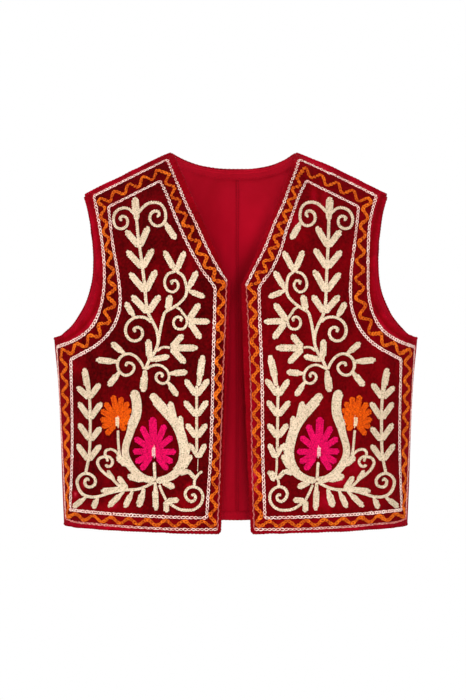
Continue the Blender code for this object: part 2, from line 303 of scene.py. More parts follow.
def curl(x, z):
    """How far a front's centre or neck edge is turned in."""
    near = np.clip(1 - (np.abs(x) - np.interp(z, OPENING_Z, OPENING_X)) / EDGE_CURL_WIDTH, 0, 1)
    return EDGE_CURL_DEPTH * near**2 * np.clip(-z / (2 * EDGE_CURL_WIDTH), 0, 1)


def girth(turn, z):
    """x at a turn and a height, before any lean, and the share of the full depth there."""
    across = np.sin(turn)
    along = np.abs(np.cos(turn))
    scale = (np.abs(across) ** GIRTH_POWER + along**GIRTH_POWER) ** (-1 / GIRTH_POWER)
    return eased(z, SECTION_Z, HALF_WIDTH) * across * scale, along * scale


def form(face, turn, z):
    """Points on the outside of the velvet."""
    x, share = girth(turn, z)
    fall = np.clip((shoulder_z(x) - z) / ROUNDING_DROP[face], 0, None)
    reach = np.clip(np.sqrt((fall + RIDGE_SOFTNESS) ** 2 - RIDGE_SOFTNESS**2), 0, 1)
    depth = eased(z, SECTION_Z, DEPTH[face]) * (1 - (1 - reach) ** ROUNDING_POWER)
    side_fade = np.clip(share, 0, 1) * reach
    depth = depth * share + spread(FOLDS[face], x, z) * side_fade
    if face < 0:
        depth = depth - curl(x, z) * reach
    return np.stack([x + spread([NECK_LEAN], x, z), face * depth, z], axis=-1)


def unit(vectors):
    return vectors / np.linalg.norm(vectors, axis=-1, keepdims=True)


def outward(face, turn, z):
    """Unit normals of the form, with the ridge's own normal along the shoulder line."""
    turn_step = 0.0005
    z_step = 0.00005
    round_body = form(face, turn + turn_step, z) - form(face, turn - turn_step, z)
    up_body = form(face, turn, z) - form(face, turn, z - z_step)
    normal = unit(np.cross(round_body, up_body) * -face)
    ridge = unit(np.stack([np.sign(turn) * SHOULDER_SLOPE, 0 * turn, 1 + 0 * turn], axis=-1))
    on_ridge = shoulder_z(girth(turn, z)[0]) - z < z_step
    return np.where(on_ridge[..., None], ridge, normal)


def closing(start, stop, count):
    return stop + (start - stop) * (1 - np.linspace(0, 1, count + 1)) ** ROW_CLOSING_POWER


def run(path, scale=(1, 1)):
    """Distance along a path at each of its points."""
    steps = np.diff(path, axis=0) * scale
    return np.concatenate([[0], np.cumsum(np.linalg.norm(steps, axis=1))])


def placed(path, lengths, wanted):
    """Points where a path with the given lengths along it has the wanted ones."""
    return np.stack([np.interp(wanted, lengths, path[:, k]) for k in range(2)], axis=1)


def joined(*stretches):
    return np.concatenate([stretches[0]] + [stretch[1:] for stretch in stretches[1:]])


def edge(x, z):
    """(turn, z) points of an edge given by its x and z as seen from the front."""
    return np.c_[turn_at(x, z), z]


def armhole(narrow_x, narrow_z, power):
    """(turn, z) points from the underarm up to the shoulder point."""
    angle = np.linspace(0, pi / 2, EDGE_POINTS)
    low_turn = pi / 2 + (turn_at(narrow_x, narrow_z) - pi / 2) * np.sin(angle) ** (2 / power)
    low_z = narrow_z + (UNDERARM_Z - narrow_z) * np.cos(angle) ** (2 / power)
    rise = np.linspace(0, 1, EDGE_POINTS)
    flare = (SHOULDER_HALF_WIDTH - narrow_x) * rise**ARMHOLE_FLARE_POWER
    high = edge(narrow_x + flare, narrow_z + (-SHOULDER_DROP - narrow_z) * rise)
    return joined(np.c_[low_turn, low_z], high)


def outer_edge(hole, below, above):
    """(turn, z) of every row's end, up the side seam and round the armhole."""
    seam_z = np.linspace(SIDE_HEM_Z, UNDERARM_Z, below + 1)
    lengths = run(hole, FLAT)
    round_hole = placed(hole, lengths, closing(0, lengths[-1], above))
    return joined(np.c_[0 * seam_z + pi / 2, seam_z], round_hole)


def front_inner_edge(name):
    """(turn, z) of every row's start, up a front's centre edge and neck edge."""
    below, above = FRONT_ROWS
    to_v = above // 3
    low_z = np.linspace(FRONT_HEM_Z, CENTRE_Z_OF_UNDERARM_ROW, below + 1)
    middle_z = np.linspace(CENTRE_Z_OF_UNDERARM_ROW, V_POINT_Z, to_v + 1)
    z = joined(low_z, middle_z, closing(V_POINT_Z, 0, above - to_v))
    bow = NECK_BOW[name] * np.sin(pi * np.clip(z / V_POINT_Z, 0, 1) ** NECK_BOW_POWER)
    return edge(np.interp(z, OPENING_Z, OPENING_X) + bow, z)


def half_panel(inner, outer, top):
    """Turn and z of a grid of rows from an inner to an outer edge, ending on a top edge."""
    part = np.linspace(0, 1, len(top))
    up = np.linspace(0, 1, len(inner))[:, None]
    turn = inner[:, :1] * (1 - part) + outer[:, :1] * part
    z = inner[:, 1:] * (1 - part) + outer[:, 1:] * part
    turn = turn + (top[:, 0] - turn[-1]) * up**TURN_EASE_POWER
    z = z + (top[:, 1] - z[-1]) * up**Z_EASE_POWER
    return turn, z


def layer(face, turn, z, depth):
    """A grid's points at a depth under the form, trimmed to the shoulder and side seams."""
    surface = form(face, turn, z)
    points = surface - outward(face, turn, z) * (np.zeros_like(turn) + depth)[..., None]
    on_side = pi / 2 - np.abs(turn) < ON_SEAM
    on_shoulder = shoulder_z(surface[..., 0]) - z < ON_SEAM
    beyond = face * points[..., 1] < SEAM_GAP / 2
    points[..., 1] = np.where(on_side | on_shoulder | beyond, face * SEAM_GAP / 2, points[..., 1])
    return points


class Work:
    """What is gathered for one piece: points with their tones, and quads with their finishes."""

    def __init__(self):
        self.parts = []
        self.count = 0

    def add(self, points, quads, tones, finishes=0):
        points = points.reshape(-1, 3)
        tones = np.zeros(len(points)) + tones
        finishes = np.zeros(len(quads), int) + finishes
        self.parts.append((points, tones, quads + self.count, finishes))
        self.count += len(points)

    def add_wall(self, outer, inner, tones=0.5, flip=False, same_tones=False):
        """A closed wall between two grids. Its inner side takes the second finish, and tone 1."""
        index = np.arange(outer[..., 0].size).reshape(outer.shape[:2])
        face = np.stack([index[:-1, :-1], index[:-1, 1:], index[1:, 1:], index[1:, :-1]], axis=-1)
        face = face.reshape(-1, 4)
        ring = np.concatenate([index[0, :-1], index[:-1, -1], index[-1, :0:-1], index[:0:-1, 0]])
        after = np.roll(ring, -1)
        rim = np.stack([after, ring, ring + index.size, after + index.size], axis=1)
        quads = np.concatenate([face, rim, face[:, ::-1] + index.size])
        finishes = np.zeros(len(quads), int)
        finishes[len(face) + len(rim) :] = 1
        tones = np.zeros((2,) + index.shape) + tones
        tones[1] = tones[1] if same_tones else 1
        points = np.concatenate([outer.reshape(-1, 3), inner.reshape(-1, 3)])
        self.add(points, quads[:, ::-1] if flip else quads, tones.ravel(), finishes)

    def piece(self, name, finishes, replaced=None):
        """The mesh of all that was added, riding on the garment's one body."""
        points, tones, quads, slots = [np.concatenate(part) for part in zip(*self.parts)]
        mesh = bpy.data.meshes.new(name)
        mesh.from_pydata(points, [], quads)
        mesh.polygons.foreach_set("material_index", slots)
        mesh.attributes.new("tone", "FLOAT", "POINT").data.foreach_set("value", tones)
        for finish in finishes:
            mesh.materials.append(finish)
        mesh.shade_smooth()
        mesh.set_sharp_from_angle(angle=SHARP_ANGLE)
        made = new_object(name, mesh)
        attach(made, "root")
        if replaced:
            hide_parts(replaced)
        return made


# A point's tone on the velvet runs from 0, dark pile, over 1, pile that leans to the light, and 2,
# the unpressed margin, its brightness partly a painted sheen of velvet that rounds away, to 3,
# crushed and pale.
PILE_DARK = (0.035, 0.0001, 0.0003, 1)
PILE_LIGHT = (0.250, 0.0006, 0.0035, 1)
PILE_HOLLOW_SHADE = (0.02, 0.0001, 0.0005, 1)
MARGIN_DEEP = (0.180, 0.0004, 0.0030, 1)
MARGIN_BRIGHT = (0.540, 0.0020, 0.0200, 1)
CRUSHED_PALE = (0.720, 0.0700, 0.0900, 1)
velvet, start = new_finish(
    "crimson_velvet",
    Roughness=0.85,
    Sheen_Weight=0.20,
    Sheen_Roughness=0.35,
    Sheen_Tint=(1.0, 0.015, 0.035, 1),
    Specular_IOR_Level=0.02,
)
patches = start.noise(15.0, 2.0).between(0.34, 0.68)
streaks = start.noise(60.0, 3.0, (1.0, 1.0, 0.45)).between(0.36, 0.68)
pile = start.noise(1500.0, 2.0)
tone = start.tone()
grain = start.noise(300.0, 2.0).between(0.3, 0.7)
field = tone.between(0, 1) * 0.58 + patches * streaks * 0.55 + grain * 0.36 - 0.03
field = field.between(0, 1).mix(PILE_DARK, PILE_LIGHT)
ripples = start.noise(170.0, 2.0).between(0.35, 0.65)
# The margin's own crimson, painted brighter with streaks as the velvet's sheen.
margin_and_sheen = (patches * 0.25 + streaks * 0.45 + ripples * 0.30).mix(MARGIN_DEEP, MARGIN_BRIGHT)
worn_and_sheen = tone.between(2, 3).mix(tone.between(1, 2).mix(field, margin_and_sheen), CRUSHED_PALE)
# Painted shade in the hollows of the pile, where its bump is lowest.
pile_hollow_shade = (0.62 - pile).between(0.0, 0.4) * 0.45
feed(velvet, Base_Color=pile_hollow_shade.mix(worn_and_sheen, PILE_HOLLOW_SHADE))
feed(velvet, Roughness=patches * 0.10 + 0.78, Height=(pile + streaks * 1.5, 0.0006))

COTTON_DEEP = (0.500, 0.0020, 0.0160, 1)
COTTON_BRIGHT = (0.700, 0.0045, 0.0300, 1)
COTTON_SHADED = (0.120, 0.0002, 0.0015, 1)
cotton, start = new_finish(
    "crimson_cotton",
    Roughness=0.9,
    Sheen_Weight=0.1,
    Sheen_Roughness=0.5,
    Sheen_Tint=(1.0, 0.2, 0.25, 1),
    Specular_IOR_Level=0.06,
)
place = start.node("ShaderNodeTexCoord", output=3)
rib = {"Vector": place, "Scale": 420.0, "Distortion": 0.6, "Detail": 1.0}
warp, weft = [start.node("ShaderNodeTexWave", {"bands_direction": way}, rib, 1) for way in "XZ"]
slub = start.noise(22.0, 3.0, (1.0, 1.0, 0.3)).between(0.3, 0.7)
threads = warp * weft
lit = (slub * 0.6 + threads * 0.4).mix(COTTON_DEEP, COTTON_BRIGHT)
# Where the tone is under 1, the colour of a painted shadow is mixed in.
feed(cotton, Base_Color=start.tone().between(0, 1).mix(COTTON_SHADED, lit))
feed(cotton, Height=(threads + slub * 0.5, 0.0003))

# The border's outer and inner lines, by stretches that each run on to the next one's first points,
# the corners. Waves counts them on either front, and near and far say how far across the band they
# swing. Clear is the share without waves at a stretch's start, or at its end if below 0. Breadths
# are of the stitches at its two ends. The right front was worked by hand to the same plan, and its
# lines wander from it by the (z, x) shifts below.
SIDE_INSET = 4.1  # of the outer line, from the side seam
AT_SIDE = None
Stretch = namedtuple("Stretch", "outer inner waves near far clear outer_breadth inner_breadth")
BORDER = [
    Stretch(
        [(85.2, -9.2)],
        [(93.1, -37.6)],
        (4, 4), 0.34, 0.74, (0.08, 0.0), (1.25, 1.25), (1.2, 1.2),
    ),
    Stretch(
        [(176.6, -54.1), (170.8, -79), (165.2, -107), (161.8, -130), (160.3, -150),
         (160.4, -167), (162.6, -185), (167.4, -202), (175.4, -216.5), (187, -227.5),
         (203, -236)],
        [(157.3, -69.1), (150.2, -117.5), (142.7, -157.2), (140.4, -180), (141.4, -198),
         (146, -212), (153, -223.5), (163.1, -234.4), (175.8, -243.6), (190, -251)],
        (11, 10), 0.27, 0.72, (0.0, 0.0), (1.1, 1.1), (1.0, 1.2),
    ),
    Stretch(
        [(AT_SIDE, -242.3)],
        [(203.1, -257.7), (202, -373)],
        (9, 9), 0.3, 0.72, (0.03, 0.0), (0.85, 0.7), (1.45, 1.45),
    ),
    Stretch(
        [(AT_SIDE, -455.5), (202.6, -457.6), (172.6, -459.3), (125, -461.4), (76, -462.6)],
        [(205, -443.7), (120, -447.2)],
        (8, 8), 0.26, 0.7, (0.0, 0.0), (0.5, 1.0), (1.1, 1.05),
    ),
    Stretch(
        [(22.4, -462.4), (19.9, -402.7), (18.2, -349.6), (15.4, -270.1), (12.6, -199)],
        [(35.2, -448.6), (30.3, -370.1), (26.6, -240)],
        (14, 13), 0.2, 0.7, (0.0, 0.0), (0.42, 0.34), (1.05, 1.0),
    ),
    Stretch(
        [(11.4, -163), (22.4, -146), (32.7, -127), (52.2, -85.2), (58, -73.9), (67.8, -50.7),
         (75.6, -32.3)],
        [(24.8, -171.4), (31.8, -161), (38.5, -152.8), (46.2, -139.9), (54, -126),
         (60.6, -112.8), (67.2, -98.4), (73, -85.1), (78.4, -71.5), (83.5, -58)],
        (8, 9), 0.29, 0.73, (-0.05, -0.08), (0.95, 1.0), (1.0, 1.0),
    ),
]
V_POINT_OUTER = (11.4, -163)
RIGHT_V_POINT_Z = -168.0
ARMHOLE_SIDE_X = 120
RIGHT_SHIFTS = {
    ("outer", "neck"): [
        (-460, 0), (-390, 0.5), (-295, 1.9), (-200, 1.8), (-168, 1.3), (-146, 1.3), (-127, 0.7),
        (-85, -2.1), (-62, -2.8), (-38, -4.2), (-22, -3.6), (-9, -2),
    ],
    ("inner", "neck"): [
        (-445, 0), (-390, 1.5), (-295, 3.9), (-205, 3), (-171, 2.9), (-160, 2.7), (-146, 2.2),
        (-123, -0.6), (-104, -4.5), (-86, -5.8), (-65, -6.4), (-37, -5.8),
    ],
    ("outer", "armhole"): [
        (-180, 0), (-155, 1.2), (-130, 0), (-85, -3.4), (-54, -1.6),
    ],
    ("inner", "armhole"): [
        (-205, 0.4), (-175, -1.6), (-131, -4.8), (-69, -5.6),
    ],
}
PATH_STEP = 0.4


def smooth_path(points):
    """Points about a step apart, on one smooth curve through a few."""
    points = np.array(points, float)
    knots = run(points)
    at = np.linspace(0, knots[-1], max(4, int(knots[-1] / PATH_STEP) + 1))
    if len(points) == 2:
        return placed(points, knots, at)
    return np.stack([eased(at, knots, points[:, k]) for k in range(2)], axis=1)


def border_line(front, line, points):
    """Points of one stretch of a line of the border, in millimetres as seen."""
    fixed = []
    for x, z in points:
        if front == "right" and (x, z) == V_POINT_OUTER:
            z = RIGHT_V_POINT_Z
        if x is AT_SIDE:
            x = float(eased(np.array(z * MM), SECTION_Z, HALF_WIDTH)) / MM - SIDE_INSET
        fixed.append((x, z))
    path = smooth_path(fixed)
    if front == "right":
        by_neck = path[:, 0] < ARMHOLE_SIDE_X
        for edge_name, chosen in (("neck", by_neck), ("armhole", ~by_neck)):
            shift = eased(path[:, 1], *np.array(RIGHT_SHIFTS[line, edge_name]).T)
            path[:, 0] += np.where(chosen, shift, 0)
    return path


def as_sewn(points):
    """(turn, z) of places given in millimetres as seen."""
    return edge(points[:, 0] * MM, points[:, 1] * MM)


def depth_inside(loop, x, z):
    """How far in from a closed loop each place is, and less than 0 outside it."""
    within = np.zeros(x.shape, bool)
    near = np.full(x.shape, np.inf)
    for (x0, z0), (x1, z1) in zip(loop, np.roll(loop, -1, axis=0)):
        along_x = x1 - x0
        along_z = z1 - z0
        if along_z:
            crossed = (z0 > z) != (z1 > z)
            within ^= crossed & (x < x0 + along_x * (z - z0) / along_z)
        if along_x or along_z:
            part = ((x - x0) * along_x + (z - z0) * along_z) / (along_x**2 + along_z**2)
            part = np.clip(part, 0, 1)
            near = np.minimum(near, np.hypot(x - x0 - part * along_x, z - z0 - part * along_z))
    return np.where(within, near, -near)


# Where the pile of the fronts leans another way, or is crushed: soft spots in millimetres as seen,
# with the tone in the middle of each.
BRUSHED = {
    "left": [
        (112, -64, 30, 8, 0.3), (126, -118, 5, 30, 0.4), (74, -148, 40, 6, 0.35),
        (195, -268, 9, 9, 1.0), (190, -352, 8, 40, 0.45), (150, -300, 30, 14, 0.3),
        (60, -330, 10, 30, 0.35), (160, -440, 40, 7, 1.0), (60, -430, 22, 14, 0.75),
        (198, -424, 4, 4, 2.8), (198, -436, 6, 7, 1.3), (188, -411, 3, 6, 2.1), (148, -434, 6, 4, 1.7),
        (57, -409, 3, 3, 2.2), (152, -398, 16, 12, 0.6), (213, -350, 9, 95, 1.2),
        (120, -454, 95, 6, 1.1), (20, -420, 8, 60, 1.0),
    ],
    "right": [
        (96, -58, 5, 16, 1.5), (110, -60, 5, 14, 1.6), (73, -92, 5, 18, 1.4), (58, -128, 8, 14, 0.7),
        (110, -150, 16, 50, 0.35), (125, -214, 30, 16, 0.25), (146, -392, 16, 14, 1.45),
        (124, -406, 15, 5, 2.2), (112, -428, 5, 14, 1.8), (102, -430, 10, 13, 1.1),
        (150, -432, 40, 9, 0.95), (24, -395, 4, 6, 2.0), (24, -412, 3, 5, 2.4),
        (178, -300, 14, 40, 0.6), (190, -400, 8, 26, 0.7), (213, -350, 9, 120, 1.15),
        (120, -454, 95, 6, 1.1), (20, -340, 8, 110, 1.6),
    ],
}
LYING_PILE = {"left": 0.04, "right": 0.46}
PRESSED_FADE = 1.2
# Tones of the margin beyond the border, partly painted sheen: brightest by the side, less by the neck,
# and across the armhole's margin by the distance from its edge.
SIDE_MARGIN = 1.9
NECK_MARGIN = {"left": 1.15, "right": 1.25}
NECK_MARGIN_REACH = 90
NECK_MARGIN_FADE = 20
ARMHOLE_MARGIN_IN = [0.0, 2.5, 4.5, 6.5, 8.5, 10.5, 13.5]
ARMHOLE_MARGIN = [1.7, 1.5, 1.1, 1.05, 1.7, 2.1, 1.8]
ARMHOLE_MARGIN_REACH = 0.020
HOLE_STRIDE = 4
LOOP_STRIDE = 8
SIDES = {"left": -1, "right": 1}
top_x = np.linspace(NECK_HALF_WIDTH, SHOULDER_HALF_WIDTH, FRONT_COLUMNS + 1)
front_hole = armhole(*FRONT_ARMHOLE)
hole_seen = form(-1, *front_hole[::HOLE_STRIDE].T)[:, ::2]
lines = {}
hems = {}
on_fronts = {"left": [], "right": []}
for name, side in SIDES.items():
    for line in ("outer", "inner"):
        corners = [getattr(part, line)[0] for part in BORDER[1:] + BORDER[:1]]
        stretches = [getattr(part, line) + [corner] for part, corner in zip(BORDER, corners)]
        lines[name, line] = [border_line(name, line, points) for points in stretches]
    outer = outer_edge(front_hole, *FRONT_ROWS)
    turn, z = half_panel(front_inner_edge(name), outer, edge(top_x, shoulder_z(top_x)))
    hems[name] = np.c_[turn[0], z[0]]
    seen_x, _, seen_z = np.moveaxis(form(-1, turn, z) / MM, -1, 0)
    loop = np.concatenate([line[:-1:LOOP_STRIDE] for line in lines[name, "outer"]])
    outside = np.clip(-depth_inside(loop, seen_x, seen_z) / PRESSED_FADE, 0, 1)
    to_hole = np.stack([seen_x, seen_z], axis=-1)[..., None, :] * MM - hole_seen
    from_hole = np.sqrt(to_hole[..., 0] ** 2 + to_hole[..., 1] ** 2).min(axis=-1)
    groove = np.exp(-(((from_hole - GROOVE_IN) / GROOVE_HALF_WIDTH) ** 2))
    by_neck = np.clip((NECK_MARGIN_REACH - seen_x) / NECK_MARGIN_FADE, 0, 1)
    margin_and_sheen = SIDE_MARGIN + (NECK_MARGIN[name] - SIDE_MARGIN) * by_neck
    along = np.interp(from_hole / MM, ARMHOLE_MARGIN_IN, ARMHOLE_MARGIN)
    margin_and_sheen = np.where(from_hole < ARMHOLE_MARGIN_REACH, along, margin_and_sheen)
    tones = LYING_PILE[name] + 0 * turn
    for row in BRUSHED[name]:
        tones += (Spot(*row).amount - LYING_PILE[name]) * bell(row, seen_x, seen_z)
    work = Work()
    surface = layer(-1, side * turn, z, GROOVE_DEPTH * groove)
    inside = layer(-1, side * turn, z, FRONT_WALL)
    work.add_wall(surface, inside, tones + (margin_and_sheen - tones) * outside, side < 0)
    work.piece(f"front_{name}_velvet", [velvet, cotton], f"front_{name}")

# --- The back ---
# One plain panel of the same velvet, cut whole across the centre, with its neck, armholes and hem
# turned in.
BACK_WALL = 0.0015
BACK_ROWS = (34, 60)
NECK_COLUMNS = 26
SHOULDER_COLUMNS = 36
# The back's velvet takes a tone near the margin's, partly painted sheen.
BACK_TONE = 1.7
low_z = np.linspace(BACK_HEM_Z, CENTRE_Z_OF_UNDERARM_ROW, BACK_ROWS[0] + 1)
centre_z = joined(low_z, closing(CENTRE_Z_OF_UNDERARM_ROW, -BACK_NECK_DROP, BACK_ROWS[1]))
neck_x = np.linspace(0, NECK_HALF_WIDTH, NECK_COLUMNS + 1)
neck_z = -BACK_NECK_DROP * (1 - (neck_x / NECK_HALF_WIDTH) ** BACK_NECK_POWER)
shoulder_x = np.linspace(NECK_HALF_WIDTH, SHOULDER_HALF_WIDTH, SHOULDER_COLUMNS + 1)
top = joined(edge(neck_x, neck_z), edge(shoulder_x, shoulder_z(shoulder_x)))
back_hole = armhole(*BACK_ARMHOLE)
outer = outer_edge(back_hole, *BACK_ROWS)
back_turn, back_z = half_panel(np.c_[0 * centre_z, centre_z], outer, top)
whole_turn = np.hstack([-back_turn[:, :0:-1], back_turn])
whole_z = np.hstack([back_z[:, :0:-1], back_z])
work = Work()
near = layer(1, whole_turn, whole_z, 0)
work.add_wall(near, layer(1, whole_turn, whole_z, BACK_WALL), BACK_TONE, True)
back = work.piece("back_velvet", [velvet, cotton], "back")

# --- The back's lining ---
# Two halves of plain crimson cotton, seamed down the centre back and loose enough to fall in soft
# upright folds. Shadows are painted on them behind the fronts' edges and low down in the middle.
LINING_WALL = 0.0010
LINING_NEAR = BACK_WALL + SEAM_GAP
LINING_FAR = LINING_NEAR + LINING_WALL
SLACK_FADE = 0.035
SLACK_SIDE_FADE = 0.2
SLACKS = [
    (-0.0135, -0.33, 0.0045, 0.14, 0.0022), (0.0125, -0.35, 0.005, 0.12, 0.0024),
    (0.001, -0.4, 0.005, 0.08, 0.0006), (-0.045, -0.12, 0.008, 0.09, 0.0015),
    (0.052, -0.14, 0.009, 0.1, 0.0013), (-0.095, -0.26, 0.011, 0.14, 0.002),
    (0.088, -0.3, 0.012, 0.13, 0.0018), (-0.15, -0.33, 0.012, 0.1, 0.0016),
    (0.146, -0.3, 0.011, 0.12, 0.0018),
]
# Painted shadows on the lining: x, z, half width, half height, strength and lean.
PAINTED_SHADOWS = [
    (-0.015, -0.33, 0.005, 0.15, 0.7, 0.0407), (0.014, -0.33, 0.0065, 0.16, 0.8, -0.0407),
    (0.018, -0.13, 0.009, 0.07, 0.5, 0.46), (-0.025, -0.12, 0.008, 0.065, 0.28, -0.46),
    (0.0, -0.43, 0.1, 0.13, 0.16, 0.0),
]


def slack_at(turn, z):
    """How far the loose lining stands in from the velvet, nothing near its sewn edges."""
    from_hem = np.clip((z - BACK_HEM_Z) / SLACK_FADE, 0, 1)
    from_neck = np.clip((-BACK_NECK_DROP - z) / SLACK_FADE, 0, 1)
    from_side = np.clip((pi / 2 - np.abs(turn)) / SLACK_SIDE_FADE, 0, 1)
    return spread(SLACKS, form(1, turn, z)[..., 0], z) * from_hem * from_neck * from_side


def cotton_piece(name, turn, z, depths, tone=1.0, side=1, seam_x=None, replaced=None):
    """A wall of the lining's cotton between two depths. One edge can run up beside a seam."""
    faces = [layer(1, turn, z, depth) for depth in depths]
    if seam_x:
        for points in faces:
            points[:, 0, 0] = seam_x
    # The painted shadows darken the cotton's tone.
    for row in PAINTED_SHADOWS:
        tone = tone * (1 - Spot(*row).amount * bell(row, faces[1][..., 0], faces[1][..., 2]))
    work = Work()
    work.add_wall(*faces, tone, side > 0, True)
    return work.piece(f"{name}_cotton", [cotton, cotton], replaced)


for name, side in SIDES.items():
    turn = side * back_turn
    depths = [depth + slack_at(turn, back_z) for depth in (LINING_NEAR, LINING_FAR)]
    node = f"back_lining_{name}"
    seam_x = side * SEAM_GAP / 2
    cotton_piece(node, turn, back_z, depths, 1.0, side, seam_x, node)

# --- The back's facings ---
# The cotton is doubled in a narrow band along the neck and along the hem, and held there by a row
# of running stitches.
FACING_WALL = 0.0010
FACING_NEAR = LINING_FAR + SEAM_GAP
FACING_FAR = FACING_NEAR + FACING_WALL
FACING_INSET = 0.0020
FACING_ROWS = 5
FACING_STITCH_INSET = 0.0016
ALL_COLUMNS = NECK_COLUMNS + SHOULDER_COLUMNS
FACINGS = [  # name, row of the back's grid, way in from it, half columns and width
    ("neck", -1, -1, NECK_COLUMNS - 1, 0.0095),
    ("hem", 0, 1, ALL_COLUMNS, 0.0100),
]
facing_stitches = []
for name, row, inward, half_columns, width in FACINGS:
    columns = slice(ALL_COLUMNS - half_columns, ALL_COLUMNS + half_columns + 1)
    rise = np.linspace(FACING_INSET, width, FACING_ROWS)[:, None] * inward
    z = whole_z[row, columns] + np.sort(rise, axis=0)
    turn = whole_turn[row, columns] + 0 * z
    node = f"back_{name}_facing"
    cotton_piece(node, turn, z, (FACING_NEAR, FACING_FAR), replaced=node)
    z = whole_z[row, columns] + (width - FACING_STITCH_INSET) * inward
    facing_stitches.append(np.c_[whole_turn[row, columns], z])

# --- The seams inside ---
# The lining's centre seam is pressed to one side and stitched down with crimson thread, and the
# same thread holds each facing.
SEAM_EDGES = (0.0002, 0.0042)
SEAM_STITCHES = (0.0010, 0.0036)
SEAM_HEIGHT = 0.0008
SEAM_LIFT = 0.00005
SEAM_SHADE = 0.8
SEAM_ROWS = 90
SEAM_START_Z = BACK_HEM_Z + 0.011
SEAM_STOP_Z = -BACK_NECK_DROP - 0.010
seam_z = np.linspace(SEAM_START_Z, SEAM_STOP_Z, SEAM_ROWS)
z = np.repeat(seam_z[:, None], 3, axis=1)
turn = turn_at(np.linspace(*SEAM_EDGES, 3) + 0 * z, z)
under = LINING_FAR + slack_at(turn, z)
depths = (under + SEAM_LIFT, under + SEAM_HEIGHT)
centre_seam = cotton_piece("lining_centre_seam", turn, z, depths, SEAM_SHADE)


def spots_along(path, pitch):
    """Evenly spaced stitches on a (turn, z) path: turn, z, and the heading on the flat cloth."""
    lengths = run(path, FLAT)
    length = lengths[-1]
    count = max(1, round(length / pitch))
    at = (np.arange(count) + 0.5) * length / count
    ahead = placed(path, lengths, np.clip(at + pitch / 2, 0, length))
    behind = placed(path, lengths, np.clip(at - pitch / 2, 0, length))
    return np.hstack([placed(path, lengths, at), unit((ahead - behind) * FLAT) / FLAT])


def sew(work, face, side, spots, shape, tones, sizes=1.0, depth=0.0):
    """Adds a stitch at every spot. A depth puts them on the inside, that far under the velvet."""
    points, quads, shades = shape
    turn, z, turn_heading, z_heading = spots.T
    turn = side * turn
    near = 0.0002
    out = outward(face, turn, z)
    ahead = form(face, turn + side * turn_heading * near, z + z_heading * near)
    behind = form(face, turn - side * turn_heading * near, z - z_heading * near)
    place = form(face, turn, z) - out * (np.zeros(len(spots)) + depth)[:, None]
    if np.any(depth):
        out = -out
    across = unit(np.cross(out, ahead - behind))
    axes = np.stack([np.cross(across, out), across, out], axis=1)
    scaled = points * (np.zeros((len(spots), 3)) + sizes)[:, None]
    sewn = place[:, None] + np.einsum("npk,nkx->npx", scaled, axes)
    shift = np.arange(len(spots))[:, None, None] * len(points)
    tones = (np.zeros(len(spots)) + tones)[:, None] + shades
    work.add(sewn, (quads + shift).reshape(-1, 4), tones.ravel())


def tube_quads(rings, sides):
    index = np.arange(rings * sides).reshape(rings, sides)
    after = np.roll(index, -1, axis=1)
    return np.stack([index[:-1], index[1:], after[1:], after[:-1]], axis=-1).reshape(-1, 4)


END_SHADE = -0.35
STRAND_SIDES = 4


def strand(stations):
    """A closed plump strand of yarn through (along, across, up, radius) stations."""
    along, across, up, radius = np.array(stations).T[..., None]
    angle = (np.arange(STRAND_SIDES) + 0.5) * 2 * pi / STRAND_SIDES
    rings = [along + 0 * angle, across + radius * np.cos(angle), up + radius * np.sin(angle)]
    points = np.stack(rings, axis=-1).reshape(-1, 3) * MM
    last = len(points) - 1
    ends = [[0, 1, 2, 3], [last, last - 1, last - 2, last - 3]]
    shades = np.full((len(stations), STRAND_SIDES), END_SHADE)
    shades[1:-1] = 0
    return points, np.concatenate([tube_quads(*shades.shape), ends]), shades.ravel()


CREVICE_SHADE_STRENGTH = 0.9
CREVICE_SHADE_SHARE = 0.45


def yarn_finish(name, deep, bright, sheen, crevice_shade_colour=None):
    """Yarn: fine fibres, a tone of its own for every stitch, and specks of painted shade in its
    crevices.
    """
    material, start = new_finish(
        name,
        Roughness=0.85,
        Sheen_Weight=sheen,
        Sheen_Roughness=0.5,
        Sheen_Tint=bright,
        Specular_IOR_Level=0.1,
    )
    fibres = start.noise(1900.0, 2.0)
    soil = start.noise(90.0).between(0.3, 0.7)
    mixed = start.tone() * 0.6 + fibres.between(0.3, 0.7) * 0.25 + soil * 0.15
    # Specks of painted shade in the yarn's crevices, a darker copy of its deep colour unless one is
    # given.
    crevice_shade = start.noise(640.0, 1.0).between(0.56, 0.66) * CREVICE_SHADE_STRENGTH
    crevice_shade_colour = crevice_shade_colour or tuple(part * CREVICE_SHADE_SHARE for part in deep[:3]) + (1,)
    colour = crevice_shade.mix(mixed.between(0, 1).mix(deep, bright), crevice_shade_colour)
    feed(material, Base_Color=colour, Height=(fibres, 0.0003))
    return material


RUNNING_PITCH = 0.0034
SEAM_THREAD_TONE = 0.1
FACING_THREAD_TONE = 0.6
crimson_thread = yarn_finish("crimson_thread", (0.16, 0.001, 0.006, 1), (0.50, 0.005, 0.03, 1), 0.1)
running = strand([(-1.1, 0, 0.0, 0.16), (0, 0, 0.22, 0.26), (1.1, 0, 0.0, 0.16)])
work = Work()
for x in SEAM_STITCHES:
    spots = spots_along(edge(x + 0 * seam_z, seam_z), RUNNING_PITCH)
    depth = LINING_FAR + SEAM_HEIGHT + slack_at(spots[:, 0], spots[:, 1])
    sew(work, 1, 1, spots, running, SEAM_THREAD_TONE, 1.0, depth)
for path in facing_stitches:
    spots = spots_along(path, RUNNING_PITCH)
    sew(work, 1, 1, spots, running, FACING_THREAD_TONE, 1.0, FACING_FAR)
stitches = work.piece("lining_stitches", [crimson_thread])

